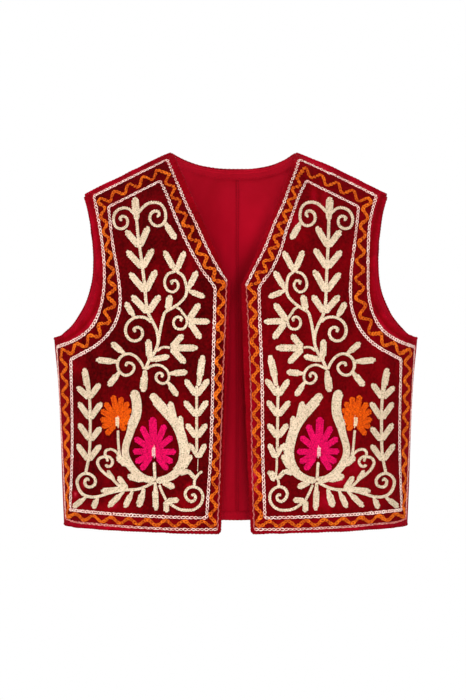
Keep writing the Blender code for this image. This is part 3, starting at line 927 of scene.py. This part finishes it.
# --- The turned edges ---
# The free edges of the velvet are turned in and overcast, so that each is a soft rippled roll. The
# seam on each shoulder is thick with turnings and stands up like a cord.
RIPPLE_PITCH = 0.0040
RIPPLE_DEPTH = 0.14
RIPPLE_FRAY = 0.4
RIPPLE_TONE = 0.25
ROLL_PROUD = 0.00045
ROLL_SIDES = 7
RINGS_PER_RIPPLE = 4
WANDER = 0.00025
WANDER_EVERY = 10
# The rolls' tones are near the margin's, partly painted sheen.
FRONT_ROLL_TONES = (1.35, 1.4, 1.7)  # up the opening, along the hem and round the armhole
BACK_ROLL_TONE = 1.75
SHOULDER_SEAM_RADIUS = 0.0024
SHOULDER_SEAM_RISE = 0.0006
SHOULDER_SEAM_TAPER = 0.03
SHOULDER_SEAM_TAPER_POWER = 0.6
SHOULDER_SEAM_NARROW = 0.45  # share of its radius at the neck
SHOULDER_SEAM_RIPPLE_DEPTH = 0.08
SHOULDER_SEAM_TONES = (1.8, 0.2)
random = np.random.default_rng(7)


def wander(count, every, size):
    """Smooth random numbers, a new one every so many places."""
    knots = np.arange(count // every + 2)
    return np.interp(np.arange(count) / every, knots, random.normal(0, size, len(knots)))


def rings_in(length):
    return int(length / RIPPLE_PITCH) * RINGS_PER_RIPPLE + 1


def ripple_of(count):
    fray = 1 + wander(count, RINGS_PER_RIPPLE, RIPPLE_FRAY)
    return np.cos(np.arange(count) * 2 * pi / RINGS_PER_RIPPLE) * fray


def rings(places, across, out, radii, sides):
    """Round a path of places, rings of given radii square to two vectors at each."""
    angle = np.linspace(0, 2 * pi, sides, endpoint=False)[:, None]
    ring = across[:, None] * np.cos(angle) + out[:, None] * np.sin(angle)
    return places[:, None] + ring * radii[:, None, None]


def add_tube(work, places, across, out, radii, tones):
    """A tube along places, closed at its ends."""
    points = rings(places, across, out, radii, ROLL_SIDES)
    points[0] = places[0]
    points[-1] = places[-1]
    work.add(points, tube_quads(len(places), ROLL_SIDES), np.repeat(tones, ROLL_SIDES))


def add_roll(work, face, path, wall, tone):
    """A rippled roll round the edge of a wall that ends on a (turn, z) path."""
    lengths = run(path, FLAT)
    count = rings_in(lengths[-1])
    turn, z = placed(path, lengths, np.linspace(0, lengths[-1], count)).T
    out = outward(face, turn, z)
    places = form(face, turn, z) - out * wall / 2
    across = np.cross(unit(np.gradient(places, axis=0)), out)
    places = places + across * wander(count, WANDER_EVERY, WANDER)[:, None]
    ripple = ripple_of(count)
    radii = (wall / 2 + ROLL_PROUD) * (1 + RIPPLE_DEPTH * ripple)
    add_tube(work, places, across, out, radii, tone + RIPPLE_TONE * ripple.clip(-1, 1))


for name, side in SIDES.items():
    work = Work()
    for path, tone in zip((front_inner_edge(name), hems[name], front_hole), FRONT_ROLL_TONES):
        add_roll(work, -1, path * (side, 1), FRONT_WALL, tone)
    on_fronts[name].append(work.piece(f"front_{name}_turned_edge", [velvet]))
    work = Work()
    count = rings_in(SHOULDER_HALF_WIDTH - NECK_HALF_WIDTH)
    x = np.linspace(NECK_HALF_WIDTH, SHOULDER_HALF_WIDTH, count)
    ridge = form(-1, *(edge(x, shoulder_z(x)) * (side, 1)).T)
    up = unit(np.array([[side * SHOULDER_SLOPE, 0, 1]])) + 0 * x[:, None]
    swell = np.clip((x - NECK_HALF_WIDTH) / SHOULDER_SEAM_TAPER, 0, 1)
    swell = swell**SHOULDER_SEAM_TAPER_POWER * (1 - SHOULDER_SEAM_NARROW) + SHOULDER_SEAM_NARROW
    lift = SHOULDER_SEAM_RISE * swell + wander(count, WANDER_EVERY, WANDER)
    places = ridge * (1, 0, 1) + up * lift[:, None]
    ripple = ripple_of(count)
    radii = SHOULDER_SEAM_RADIUS * swell * (1 + SHOULDER_SEAM_RIPPLE_DEPTH * ripple)
    tones = SHOULDER_SEAM_TONES[0] + SHOULDER_SEAM_TONES[1] * ripple
    add_tube(work, places, np.array([[0, 1.0, 0]]) + 0 * up, up, radii, tones)
    on_fronts[name].append(work.piece(f"shoulder_seam_{name}", [velvet]))
work = Work()
whole = np.stack([whole_turn, whole_z], axis=-1)
neck = whole[-1, SHOULDER_COLUMNS:-SHOULDER_COLUMNS]
for path in (neck, whole[0], back_hole, back_hole * (-1, 1)):
    add_roll(work, 1, path, BACK_WALL, BACK_ROLL_TONE)
back_edge = work.piece("back_turned_edge", [velvet])

# --- The border ---
# Two lines of open chain stitch in cream wool run round each front. Between them an orange line of
# chain stitch goes from one to the other in waves.
BORDER_STITCH = (4.4, 4.0, 0.54)  # pitch and width of the loop, and radius of its yarn
WAVE_STITCH = (4.2, 4.9, 0.98)
LOOP_RINGS = 10
YARN_SIDES = 5
SWAY = 0.16
LINE_FRAY = 0.10
LINE_TONES = (0.5, 1.1)
NARROW_SHADE = 2.5  # a narrow stitch lies in the shade of the pile
NARROW_HEIGHT = 1.3  # and stands high, where a broad one lies lower
BROAD_LOSS = 0.4
WAVE_FRAY = 0.15
WAVE_STEPS = 40
BY_SIDE = (165, 210)  # x over which the waves' stitches grow towards the side
BY_SIDE_GROWTH = (0, 0.15, 0.05)  # in length, width and height
border_cream = yarn_finish("pale_cream_wool", (0.76, 0.19, 0.16, 1), (0.99, 0.84, 0.74, 1), 0.12)
orange = yarn_finish("orange_wool", (0.42, 0.040, 0.003, 1), (0.84, 0.17, 0.008, 1), 0.12)


def loop_shape(pitch, width, radius):
    """One loop of chain stitch, narrow where the next one comes out of it."""
    turn = np.linspace(0, 2 * pi, LOOP_RINGS, endpoint=False)
    along = pitch * 0.58 * np.cos(turn)
    across = (width / 2 - radius) * np.sin(turn) * (0.85 + 0.15 * np.cos(turn))
    up = radius * (0.75 - 0.40 * np.cos(turn))
    middle = np.c_[along, across, up]
    ahead = unit(np.roll(middle, -1, axis=0) - np.roll(middle, 1, axis=0))
    aside = unit(np.cross(ahead, (0, 0, 1)))
    points = rings(middle, aside, np.cross(aside, ahead), radius + 0 * turn, YARN_SIDES)
    index = np.arange(LOOP_RINGS * YARN_SIDES).reshape(LOOP_RINGS, YARN_SIDES)
    after = np.roll(index, -1, axis=0)
    quads = [index, np.roll(index, -1, axis=1), np.roll(after, -1, axis=1), after]
    shades = np.repeat(END_SHADE * np.cos(turn), YARN_SIDES)
    return points.reshape(-1, 3) * MM, np.stack(quads, axis=-1).reshape(-1, 4), shades


def beside(ahead):
    """Unit vectors a quarter turn to the left of those along a flat path."""
    return unit(np.c_[-ahead[:, 1], ahead[:, 0]])


def wave_path(outer, inner, waves, near, far, clear):
    """Waves between two lines of the border, starting and ending by the outer one."""
    evened = []
    for line in (outer, inner):
        line = line[int(max(clear, 0) * len(line)) : int((1 + min(clear, 0)) * len(line))]
        lengths = run(line)
        at = np.linspace(0, lengths[-1], WAVE_STEPS * waves + 1)
        evened.append(placed(line, lengths, at))
    outer, inner = evened
    middle = (outer + inner) / 2
    inward = beside(np.gradient(middle, axis=0))
    band = np.sum((inner - outer) * inward, axis=1)
    length = run(middle)
    swing = 1 - np.abs(2 * ((length / length[-1] * waves) % 1) - 1)
    share = near + (far - near) * (0.5 - 0.5 * np.cos(pi * swing)) - 0.5
    return middle + inward * (band * share)[:, None]


for name, side in SIDES.items():
    work = Work()
    loop = loop_shape(*BORDER_STITCH)
    for line in ("outer", "inner"):
        for path, part in zip(lines[name, line], BORDER):
            spots = spots_along(as_sewn(path), BORDER_STITCH[0] * MM)
            count = len(spots)
            sway = SWAY * (-1) ** np.arange(count) + random.normal(0, SWAY / 2, count)
            ahead = spots[:, 2:] * FLAT
            spots[:, 2:] = (ahead + beside(ahead) * sway[:, None]) / FLAT
            breadth = np.linspace(*getattr(part, f"{line}_breadth"), count)
            sizes = np.c_[np.ones(count), breadth, NARROW_HEIGHT - breadth * BROAD_LOSS]
            sizes *= random.normal(1, LINE_FRAY, (count, 3))
            tones = random.uniform(*LINE_TONES, count) - NARROW_SHADE * np.clip(1 - breadth, 0, 1)
            sew(work, -1, side, spots, loop, tones, sizes)
    on_fronts[name].append(work.piece(f"border_lines_{name}", [border_cream]))
    work = Work()
    waves = [
        wave_path(outer, inner, part.waves[side > 0], part.near, part.far, part.clear[side > 0])
        for outer, inner, part in zip(lines[name, "outer"], lines[name, "inner"], BORDER)
    ]
    waves.append(waves[0][:1])
    spots = spots_along(as_sewn(np.concatenate(waves)), WAVE_STITCH[0] * MM)
    by_side = np.interp(np.abs(form(-1, *spots[:, :2].T)[:, 0]) / MM, BY_SIDE, (0, 1))
    sizes = random.normal(1, WAVE_FRAY, (len(spots), 3)) + by_side[:, None] * BY_SIDE_GROWTH
    tones = random.uniform(0.0, 1.0, len(spots))
    sew(work, -1, side, spots, loop_shape(*WAVE_STITCH), tones, sizes)
    on_fronts[name].append(work.piece(f"border_waves_{name}", [orange]))

# --- The vine, sprigs and horns ---
# Solid chain-stitch work in thick cream wool: stems and scrolls two rows wide, leaves of four rows
# and the two horned shapes below the waist.
STEMS = [  # width, and points
    (3.8, [(121, -86), (118.5, -108), (113.5, -140), (110, -167), (107.5, -192), (105, -202.5),
     (99, -214), (94.5, -225.5), (93.5, -235.5), (97.5, -248), (104, -258), (109.5, -270)]),
    (3.4, [(126, -78), (131, -73), (138.5, -71.5), (146, -74.5), (150, -82), (149.5, -89.5),
     (146, -96), (140, -98), (134, -95.5), (132, -89.5), (133.8, -84.3), (138.3, -82), (142, -84.5),
     (139.8, -87.8)]),
    (3.6, [(119, -78.5), (113.5, -71.5), (107.5, -67), (100, -65.5), (92.5, -67.5), (87, -74),
     (85, -82), (86, -90), (90, -94.5), (95.5, -95.5), (101.5, -92.5), (104.5, -86), (103, -79.5),
     (98.5, -76.7), (94, -78), (93, -82), (96.5, -84)]),
    (3.3, [(73.5, -151.5), (81, -154), (85, -160.5), (85, -169), (81, -174.5), (75.5, -176),
     (70.5, -172.5), (69.2, -166.8), (73, -162.3), (77.3, -163.7), (76, -167)]),
    (3.6, [(71, -151.5), (64, -156.5), (60.5, -164.5), (59, -171.5), (60, -180), (65, -187),
     (72.5, -193), (81, -198), (84.5, -200), (88, -208.5), (90.5, -219.5), (92.5, -231.5),
     (94, -240.5)]),
    (3.3, [(72.5, -193.5), (66.5, -197.5), (63.5, -202), (59, -208), (59, -214.5), (62, -219.5),
     (67.5, -221), (72.5, -219), (75, -213.5), (73.5, -208.5), (69, -206), (65, -208.3),
     (66.7, -211.5)]),
    (3.6, [(101.5, -212.5), (108, -207.5), (116, -206), (125.5, -208.5), (131.5, -214.5),
     (133.5, -221.5), (132, -228.5), (127.5, -233.5), (121.5, -235), (115, -232), (112.5, -226.5),
     (113.8, -221), (118.8, -218.5), (123.2, -221), (121, -224.3)]),
    (3.4, [(110.5, -269.5), (114, -262), (121.5, -253.5), (129.5, -250.5), (136.5, -252.5),
     (142, -258), (143.5, -265), (141, -272), (134.5, -276.5), (129.5, -276), (124.5, -272),
     (122.8, -266.5), (127, -261.8), (132, -262), (132.6, -266)]),
    (3.2, [(108, -269), (102, -265.5), (95, -264), (88, -266), (82, -272), (80.5, -278), (82.5, -284),
     (87.5, -286.5), (93, -284.5), (96.3, -279.3), (94.6, -275), (90.3, -273.8), (88.2, -276.6),
     (90.4, -278.8)]),
    (3.0, [(95, -247.5), (90, -243.5), (85, -242.5), (79, -243.5)]),
    (3.5, [(179, -299), (178, -319), (178, -344), (180, -379), (184, -397.5)]),
    (3.6, [(180, -407), (181.3, -404.2), (184.5, -406.3), (184.8, -410.5), (182, -413.6), (178, -414),
     (172.5, -411), (171.5, -405), (176, -399.5), (184, -397.5), (191.5, -401.5), (195, -407.5),
     (194, -414.5), (188, -423), (179.5, -426), (169, -425.5), (155.5, -421), (142, -417.5),
     (131, -416), (119, -415), (108, -411), (99, -406)]),
    (3.4, [(135.5, -414.5), (142, -411), (150, -403.5), (160, -396.5), (167, -388.5), (168.8, -383),
     (166, -378.5), (160.5, -376.4), (154, -376.6), (149.8, -381), (151.8, -386.8), (156.5, -388),
     (158.6, -385.5)]),
    (3.2, [(155.8, -382.2), (157, -378.5), (159, -374), (158.5, -369.5), (152.5, -367), (145, -370.3),
     (141, -376)]),
    (3.0, [(143, -343.5), (142.7, -356.5), (141.5, -369.5), (139.5, -378)]),
    (3.5, [(47, -288.5), (47, -368.5)]),
    (3.2, [(40.5, -392), (45.5, -396.5), (49, -402), (50.5, -411.5)]),
    (3.6, [(52.8, -422.7), (51.3, -420.3), (48.6, -422.8), (49.4, -426.5), (53.6, -428.8),
     (58.5, -426), (61, -419), (57.5, -413), (51, -411), (45, -413), (40.5, -418.5), (40, -426.5),
     (43.5, -433.5), (51, -438.5), (59.5, -439.5), (68.5, -438), (78, -432.5), (83.5, -427.5)]),
    (3.2, [(92.5, -409), (89, -417.5), (84, -427.5)]),
    (3.6, [(98.5, -381.5), (98, -392.5), (97.5, -404.5)]),
]
LEAVES = [  # where they grow from, width, share of it there, and tips
    # round the top scrolls and down the main stem
    ((121, -87.5), 9, 0.75, (124, -57.5)), ((86.5, -90.5), 7.6, 0.65, (72.5, -112.5)),
    ((116.5, -121), 7.6, 0.9, (134.5, -100), (106, -96)),
    ((112.5, -147), 7.6, 0.9, (132.5, -125.5), (100, -123.5)),
    ((109, -175.5), 7.6, 0.9, (128.5, -152.5), (96, -149.5)),
    ((106, -201), 7.6, 0.9, (126, -180), (91.5, -180)),
    # round the scrolls by the neck
    ((72, -152.5), 7.2, 0.7, (86.5, -126), (61.5, -127)), ((58, -174.5), 7.2, 0.6, (46.5, -151)),
    ((57, -174.5), 6.6, 0.7, (37, -182.5)), ((82, -199.5), 7.8, 0.8, (79, -179.5)),
    ((57, -210.5), 7.6, 0.8, (43.5, -190)), ((56.5, -211), 7.4, 0.9, (31, -212)),
    ((56, -212), 7.4, 0.8, (42, -232.5)),
    # at the waist
    ((123, -206), 7.2, 0.7, (133.5, -188)), ((104, -259), 7.6, 0.7, (105.5, -233)),
    ((103.5, -258.5), 7, 0.7, (80, -253.5)), ((78, -243.5), 7.4, 0.9, (63.5, -227.5)),
    ((78, -243.5), 8, 0.9, (45.5, -243.5)), ((78, -243.5), 7.6, 0.9, (60.5, -262)),
    ((134.5, -251), 7.2, 0.6, (151, -237)), ((142.5, -260.5), 7.4, 0.6, (170.5, -258)),
    ((141, -272.5), 7.6, 0.6, (155, -290)), ((80.5, -274.5), 7.4, 0.6, (58, -272.5)),
    ((82, -284.5), 7, 0.6, (70, -301.5)), ((109.5, -270), 8.6, 0.6, (112, -297)),
    # the outer sprig
    ((179.5, -299.5), 8, 0.6, (185.5, -268)), ((179, -305), 7, 0.9, (194.5, -291), (165.5, -287)),
    ((178, -330.5), 7, 0.9, (193, -310.5), (163.5, -310)),
    ((177.5, -357), 7, 0.9, (193, -336.5), (164.5, -340.5)),
    ((180, -381.5), 7, 0.9, (195, -362), (165, -362)),
    # along the bottom vine
    ((183.5, -426.5), 6.6, 0.5, (200.5, -440.5)), ((168.5, -426), 6.8, 0.5, (174.5, -440.5)),
    ((135.5, -417.5), 6.6, 0.5, (155.5, -437.5)), ((125, -416.5), 6.8, 0.5, (135, -438)),
    ((111, -414), 8, 0.5, (118, -437)), ((97.5, -405.5), 7, 0.5, (96.5, -440.5)),
    ((132, -415.5), 6.6, 0.8, (143, -400)), ((135.5, -415), 6.4, 0.8, (164.5, -418.5)),
    ((148, -404.5), 5, 0.8, (156.5, -393)),
    # the inner sprig
    ((45, -289.5), 8, 0.6, (39.5, -252)), ((47, -301), 7, 0.9, (61, -281.5), (32.5, -281)),
    ((47, -325.5), 7, 0.9, (62, -307.5), (34, -307)), ((47, -351.5), 7, 0.9, (59.5, -335), (35, -335)),
    ((45, -376), 5, 0.8, (55, -359.5)), ((45, -376), 6.4, 0.9, (36.5, -359)),
    ((48.5, -401.5), 5, 0.8, (58, -391)), ((83.5, -428.5), 6.6, 0.8, (68.5, -427)),
    ((84, -427.5), 6.6, 0.8, (83.5, -442.5)),
    # lobes on the horns
    ((131.5, -387), 8, 0.8, (144.5, -375)), ((111, -404), 8, 0.8, (131.5, -399)),
    ((74, -328.5), 7.2, 0.9, (79.5, -308)), ((65, -347), 6.4, 0.9, (67, -325.5)),
    ((59.5, -375), 5, 0.9, (55, -358)), ((63, -388.5), 6.6, 0.9, (53.5, -372.5)),
    ((68.5, -395.5), 6, 0.9, (56, -391.5)), ((89, -404.5), 7.6, 0.9, (74, -412.5)),
]
HORNS = [  # x, z and width
    [(124, -294.5, 11), (120.5, -306, 12), (119.5, -316, 11.5), (121.2, -327, 11), (125.5, -337, 11),
     (128.5, -347.5, 9.6), (131.9, -357.5, 8.8), (134, -367, 8.6), (133.2, -376, 9.4),
     (130, -384, 10.6), (124, -392, 10), (116, -398.5, 9), (107.5, -402.5, 8), (98, -404, 7.5)],
    [(102.5, -299, 10), (94, -309.5, 11), (84.5, -320, 11.5), (74.5, -331.5, 12), (68, -343, 11),
     (64, -355.5, 10.5), (62, -367.5, 10.5), (63.5, -379.5, 11), (68.5, -390, 11), (76, -397.5, 10.5),
     (85.5, -402, 9), (96.5, -405, 7.5)],
]
OWN_STROKES = {
    "left": [([(45.5, -377), (46, -392.5)], [0.9, 0.9])],
    "right": [
        ([(46.5, -372), (47, -386), (46, -402)], [2.8, 2.8, 2.8]),
        ([(44.6, -404.5), (41.4, -398.5), (37.2, -391.5)], [3.8, 5.8, 4.8]),
    ],
}
# How far the right front's hand-drawn design wanders from the left one's.
RIGHT_DRIFTS = [
    (120, -60, 100, 80, -8.3), (60, -200, 40, 60, 3.3), (72, -125, 28, 35, -2.4),
    (102, -102, 14, 20, -1.2), (40, -320, 35, 90, 3.9), (134, -316, 30, 38, 2.3),
    (40, -252, 14, 20, -1.8), (98, -365, 22, 40, 1.0),
]
FULLNESS = 1.02
LEAF_PARTS = (0, 0.5, 0.8, 1)  # places along a leaf
LEAF_SHARES = (1.04, 0.98, 0.66)  # of its width, at all of them but the first
ROW_SPACING = 1.8
ROW_EDGE = 0.15  # share of the spacing that a row stays inside its stroke
FEWEST_POINTS = 4
FILL_PITCH = 2.7
STITCH_TONE = 0.55
STITCH_TONE_FRAY = 0.28
STITCH_FRAY = 0.10
PAD_HEIGHT = 0.55
PAD_SINK = -0.25
PAD_STEP = 3.4
PAD_INSET = 0.4
LEAST_PAD = 0.2
PAD_TONE = 0.3
PAD_CROWN = 0.9
PAD_COLUMNS = np.array([-1.0, -0.6, 0.0, 0.6, 1.0])
CAP_STATIONS = np.array([0.0, 0.12, 0.45, 1.0])
# The olive of the painted shade in the cream wool's crevices.
CREAM_CREVICE_SHADE = (0.28, 0.24, 0.11, 1)
cream = yarn_finish("cream_wool", (0.63, 0.46, 0.315, 1), (0.98, 0.82, 0.62, 1), 0.12, CREAM_CREVICE_SHADE)
# One closed chain stitch: two plump strands that part like a V.
left, right = [
    strand([
        (-1.5, 0.12 * hand, 0.35, 0.25),
        (0.0, 0.44 * hand, 0.55, 0.58),
        (1.6, 0.36 * hand, 0.30, 0.30),
    ])
    for hand in (-1, 1)
]
vee_points = np.concatenate([left[0], right[0]]) + (0, 0, PAD_HEIGHT * MM)
vee_quads = np.concatenate([left[1], right[1] + len(left[0])])
VEE = (vee_points, vee_quads, np.concatenate([left[2], right[2]]))


def fill(points, widths):
    """Spots and breadth of the rows of chain stitch that fill a stroke, and its pad's grid."""
    knots = run(points)
    path = smooth_path(points)
    at = run(path)
    half = np.interp(at / at[-1], knots / knots[-1], widths) / 2
    ends = (half[0], half[-1])
    for end, distance in zip(ends, (at, at[-1] - at)):
        half = half * np.sqrt(1 - (1 - np.clip(distance / end, 0, 1)) ** 2)
    across = beside(np.gradient(path, axis=0))
    rows = max(1, round(2 * half.max() / ROW_SPACING))
    spacing = 2 * half.max() / rows
    spots = []
    for row in range(rows):
        offset = (row - (rows - 1) / 2) * spacing
        kept = np.flatnonzero(half > abs(offset) + ROW_EDGE * spacing)
        if len(kept) >= FEWEST_POINTS:
            line = path[kept[0] : kept[-1] + 1] + across[kept[0] : kept[-1] + 1] * offset
            spots.append(spots_along(as_sewn(line), FILL_PITCH * MM))
    steps = max(2, round((at[-1] - sum(ends)) / PAD_STEP) + 1)
    body = np.linspace(ends[0], at[-1] - ends[1], steps)
    start = CAP_STATIONS[:-1] * ends[0]
    stop = at[-1] - CAP_STATIONS[-2::-1] * ends[1]
    stations = np.concatenate([start, body, stop])
    aside = unit(placed(across, at, stations))
    half = np.maximum(np.interp(stations, at, half) - PAD_INSET, LEAST_PAD)
    reach = aside[:, None] * (PAD_COLUMNS * half[:, None])[..., None]
    grid = placed(path, at, stations)[:, None] + reach
    return np.concatenate(spots), spacing / ROW_SPACING, grid


def add_pad(work, side, grid, height):
    """A low closed pad under a stroke's stitches, highest along its middle."""
    turn, z = as_sewn(grid.reshape(-1, 2)).T
    place = form(-1, side * turn, z).reshape(*grid.shape[:2], 3)
    out = outward(-1, side * turn, z).reshape(*grid.shape[:2], 3)
    crown = np.sqrt(1 - np.linspace(-1, 1, grid.shape[1]) ** 2 * PAD_CROWN)[None, :, None]
    crown = crown * PAD_HEIGHT * MM * height
    work.add_wall(place + out * crown, place + out * PAD_SINK * MM, PAD_TONE, side > 0, True)


def embroider(piece_name, front, strokes, finish, height=1.0):
    """One piece of solid chain stitch made of many strokes."""
    work = Work()
    side = SIDES[front]
    for points, widths in strokes:
        points = np.array(points, float)
        if front == "right":
            points[:, 0] += spread(RIGHT_DRIFTS, *points.T)
        spots, breadth, grid = fill(points, widths)
        tones = random.normal(STITCH_TONE, STITCH_TONE_FRAY, len(spots)).clip(0, 1)
        sizes = random.normal(1, STITCH_FRAY, (3, len(spots))).T * (1, breadth, height)
        sew(work, -1, side, spots, VEE, tones, sizes)
        add_pad(work, side, grid, height)
    on_fronts[front].append(work.piece(piece_name, [finish, finish]))


vine = [(points, [width * FULLNESS] * len(points)) for width, points in STEMS]
for root, width, root_share, *tips in LEAVES:
    widths = [width * FULLNESS * share for share in (root_share, *LEAF_SHARES)]
    for way in np.array(tips) - root:
        vine.append(([way * part + root for part in LEAF_PARTS], widths))
vine += [([(x, z) for x, z, _ in horn], [width for _, _, width in horn]) for horn in HORNS]
for name in SIDES:
    embroider(f"vine_{name}", name, vine + OWN_STROKES[name], cream)

# --- The flowers ---
# An orange flower of twelve petals and a pink one of eleven on each front, all of the same stitch,
# round raised pips. The pink one's first petal, at the top, is broader.
bright_orange = yarn_finish("bright_orange_wool", (0.58, 0.045, 0.001, 1), (0.97, 0.15, 0.001, 1), 0.08)
pink = yarn_finish("pink_wool", (0.56, 0.0003, 0.062, 1), (0.97, 0.0022, 0.146, 1), 0.08)
peach = yarn_finish("peach_wool", (0.93, 0.66, 0.40, 1), (0.99, 0.88, 0.64, 1), 0.08)
rose = yarn_finish("rose_wool", (0.92, 0.46, 0.47, 1), (0.99, 0.74, 0.70, 1), 0.08)
FLOWERS = [  # name, wools of the petals and the pip, place, width of the pip and petals, and tips
    ("orange", bright_orange, peach, (142.9, -333), 4.4, [6.9, 6.9], [
        (149, -301), (138.5, -303), (130.5, -309), (127, -317.5), (128, -326), (129.5, -334.5),
        (134, -343.5), (159, -310), (164.2, -319.5), (165.4, -330.8), (163.5, -340), (158, -349.5),
    ]),
    ("pink", pink, rose, (98.5, -369), 4.2, [9.4, 7.6], [
        (100.5, -327), (85.5, -336), (76.5, -350.5), (72, -369), (76, -382), (82.5, -391),
        (114, -338.5), (122.5, -352.5), (125, -369), (121.5, -382.5), (114.5, -391.5),
    ]),
]
PETAL_PARTS = (0.04, 0.5, 0.82, 1)  # places from the flower's heart to a petal's tip
PETAL_SHARES = (0.6, 0.98, 1.03, 0.82)  # of its width, at each of them
PIP_LENGTH = 16
PIP_PARTS = (0.5, 0.2, -0.2, -0.5)
PIP_HEIGHT = 2.6
for name in SIDES:
    for colour, wool, pip_wool, heart, pip_width, petal_widths, tips in FLOWERS:
        petals = []
        for tip, petal_width in zip(tips, petal_widths[:1] + petal_widths[1:] * len(tips)):
            reach = np.array(tip) - heart
            widths = [petal_width * share for share in PETAL_SHARES]
            petals.append(([heart + reach * part for part in PETAL_PARTS], widths))
        embroider(f"{colour}_flower_{name}", name, petals, wool)
        upright = [(heart[0], heart[1] + PIP_LENGTH * part) for part in PIP_PARTS]
        pip = [(upright, [1.0, pip_width, pip_width, 1.0])]
        embroider(f"{colour}_pip_{name}", name, pip, pip_wool, PIP_HEIGHT)
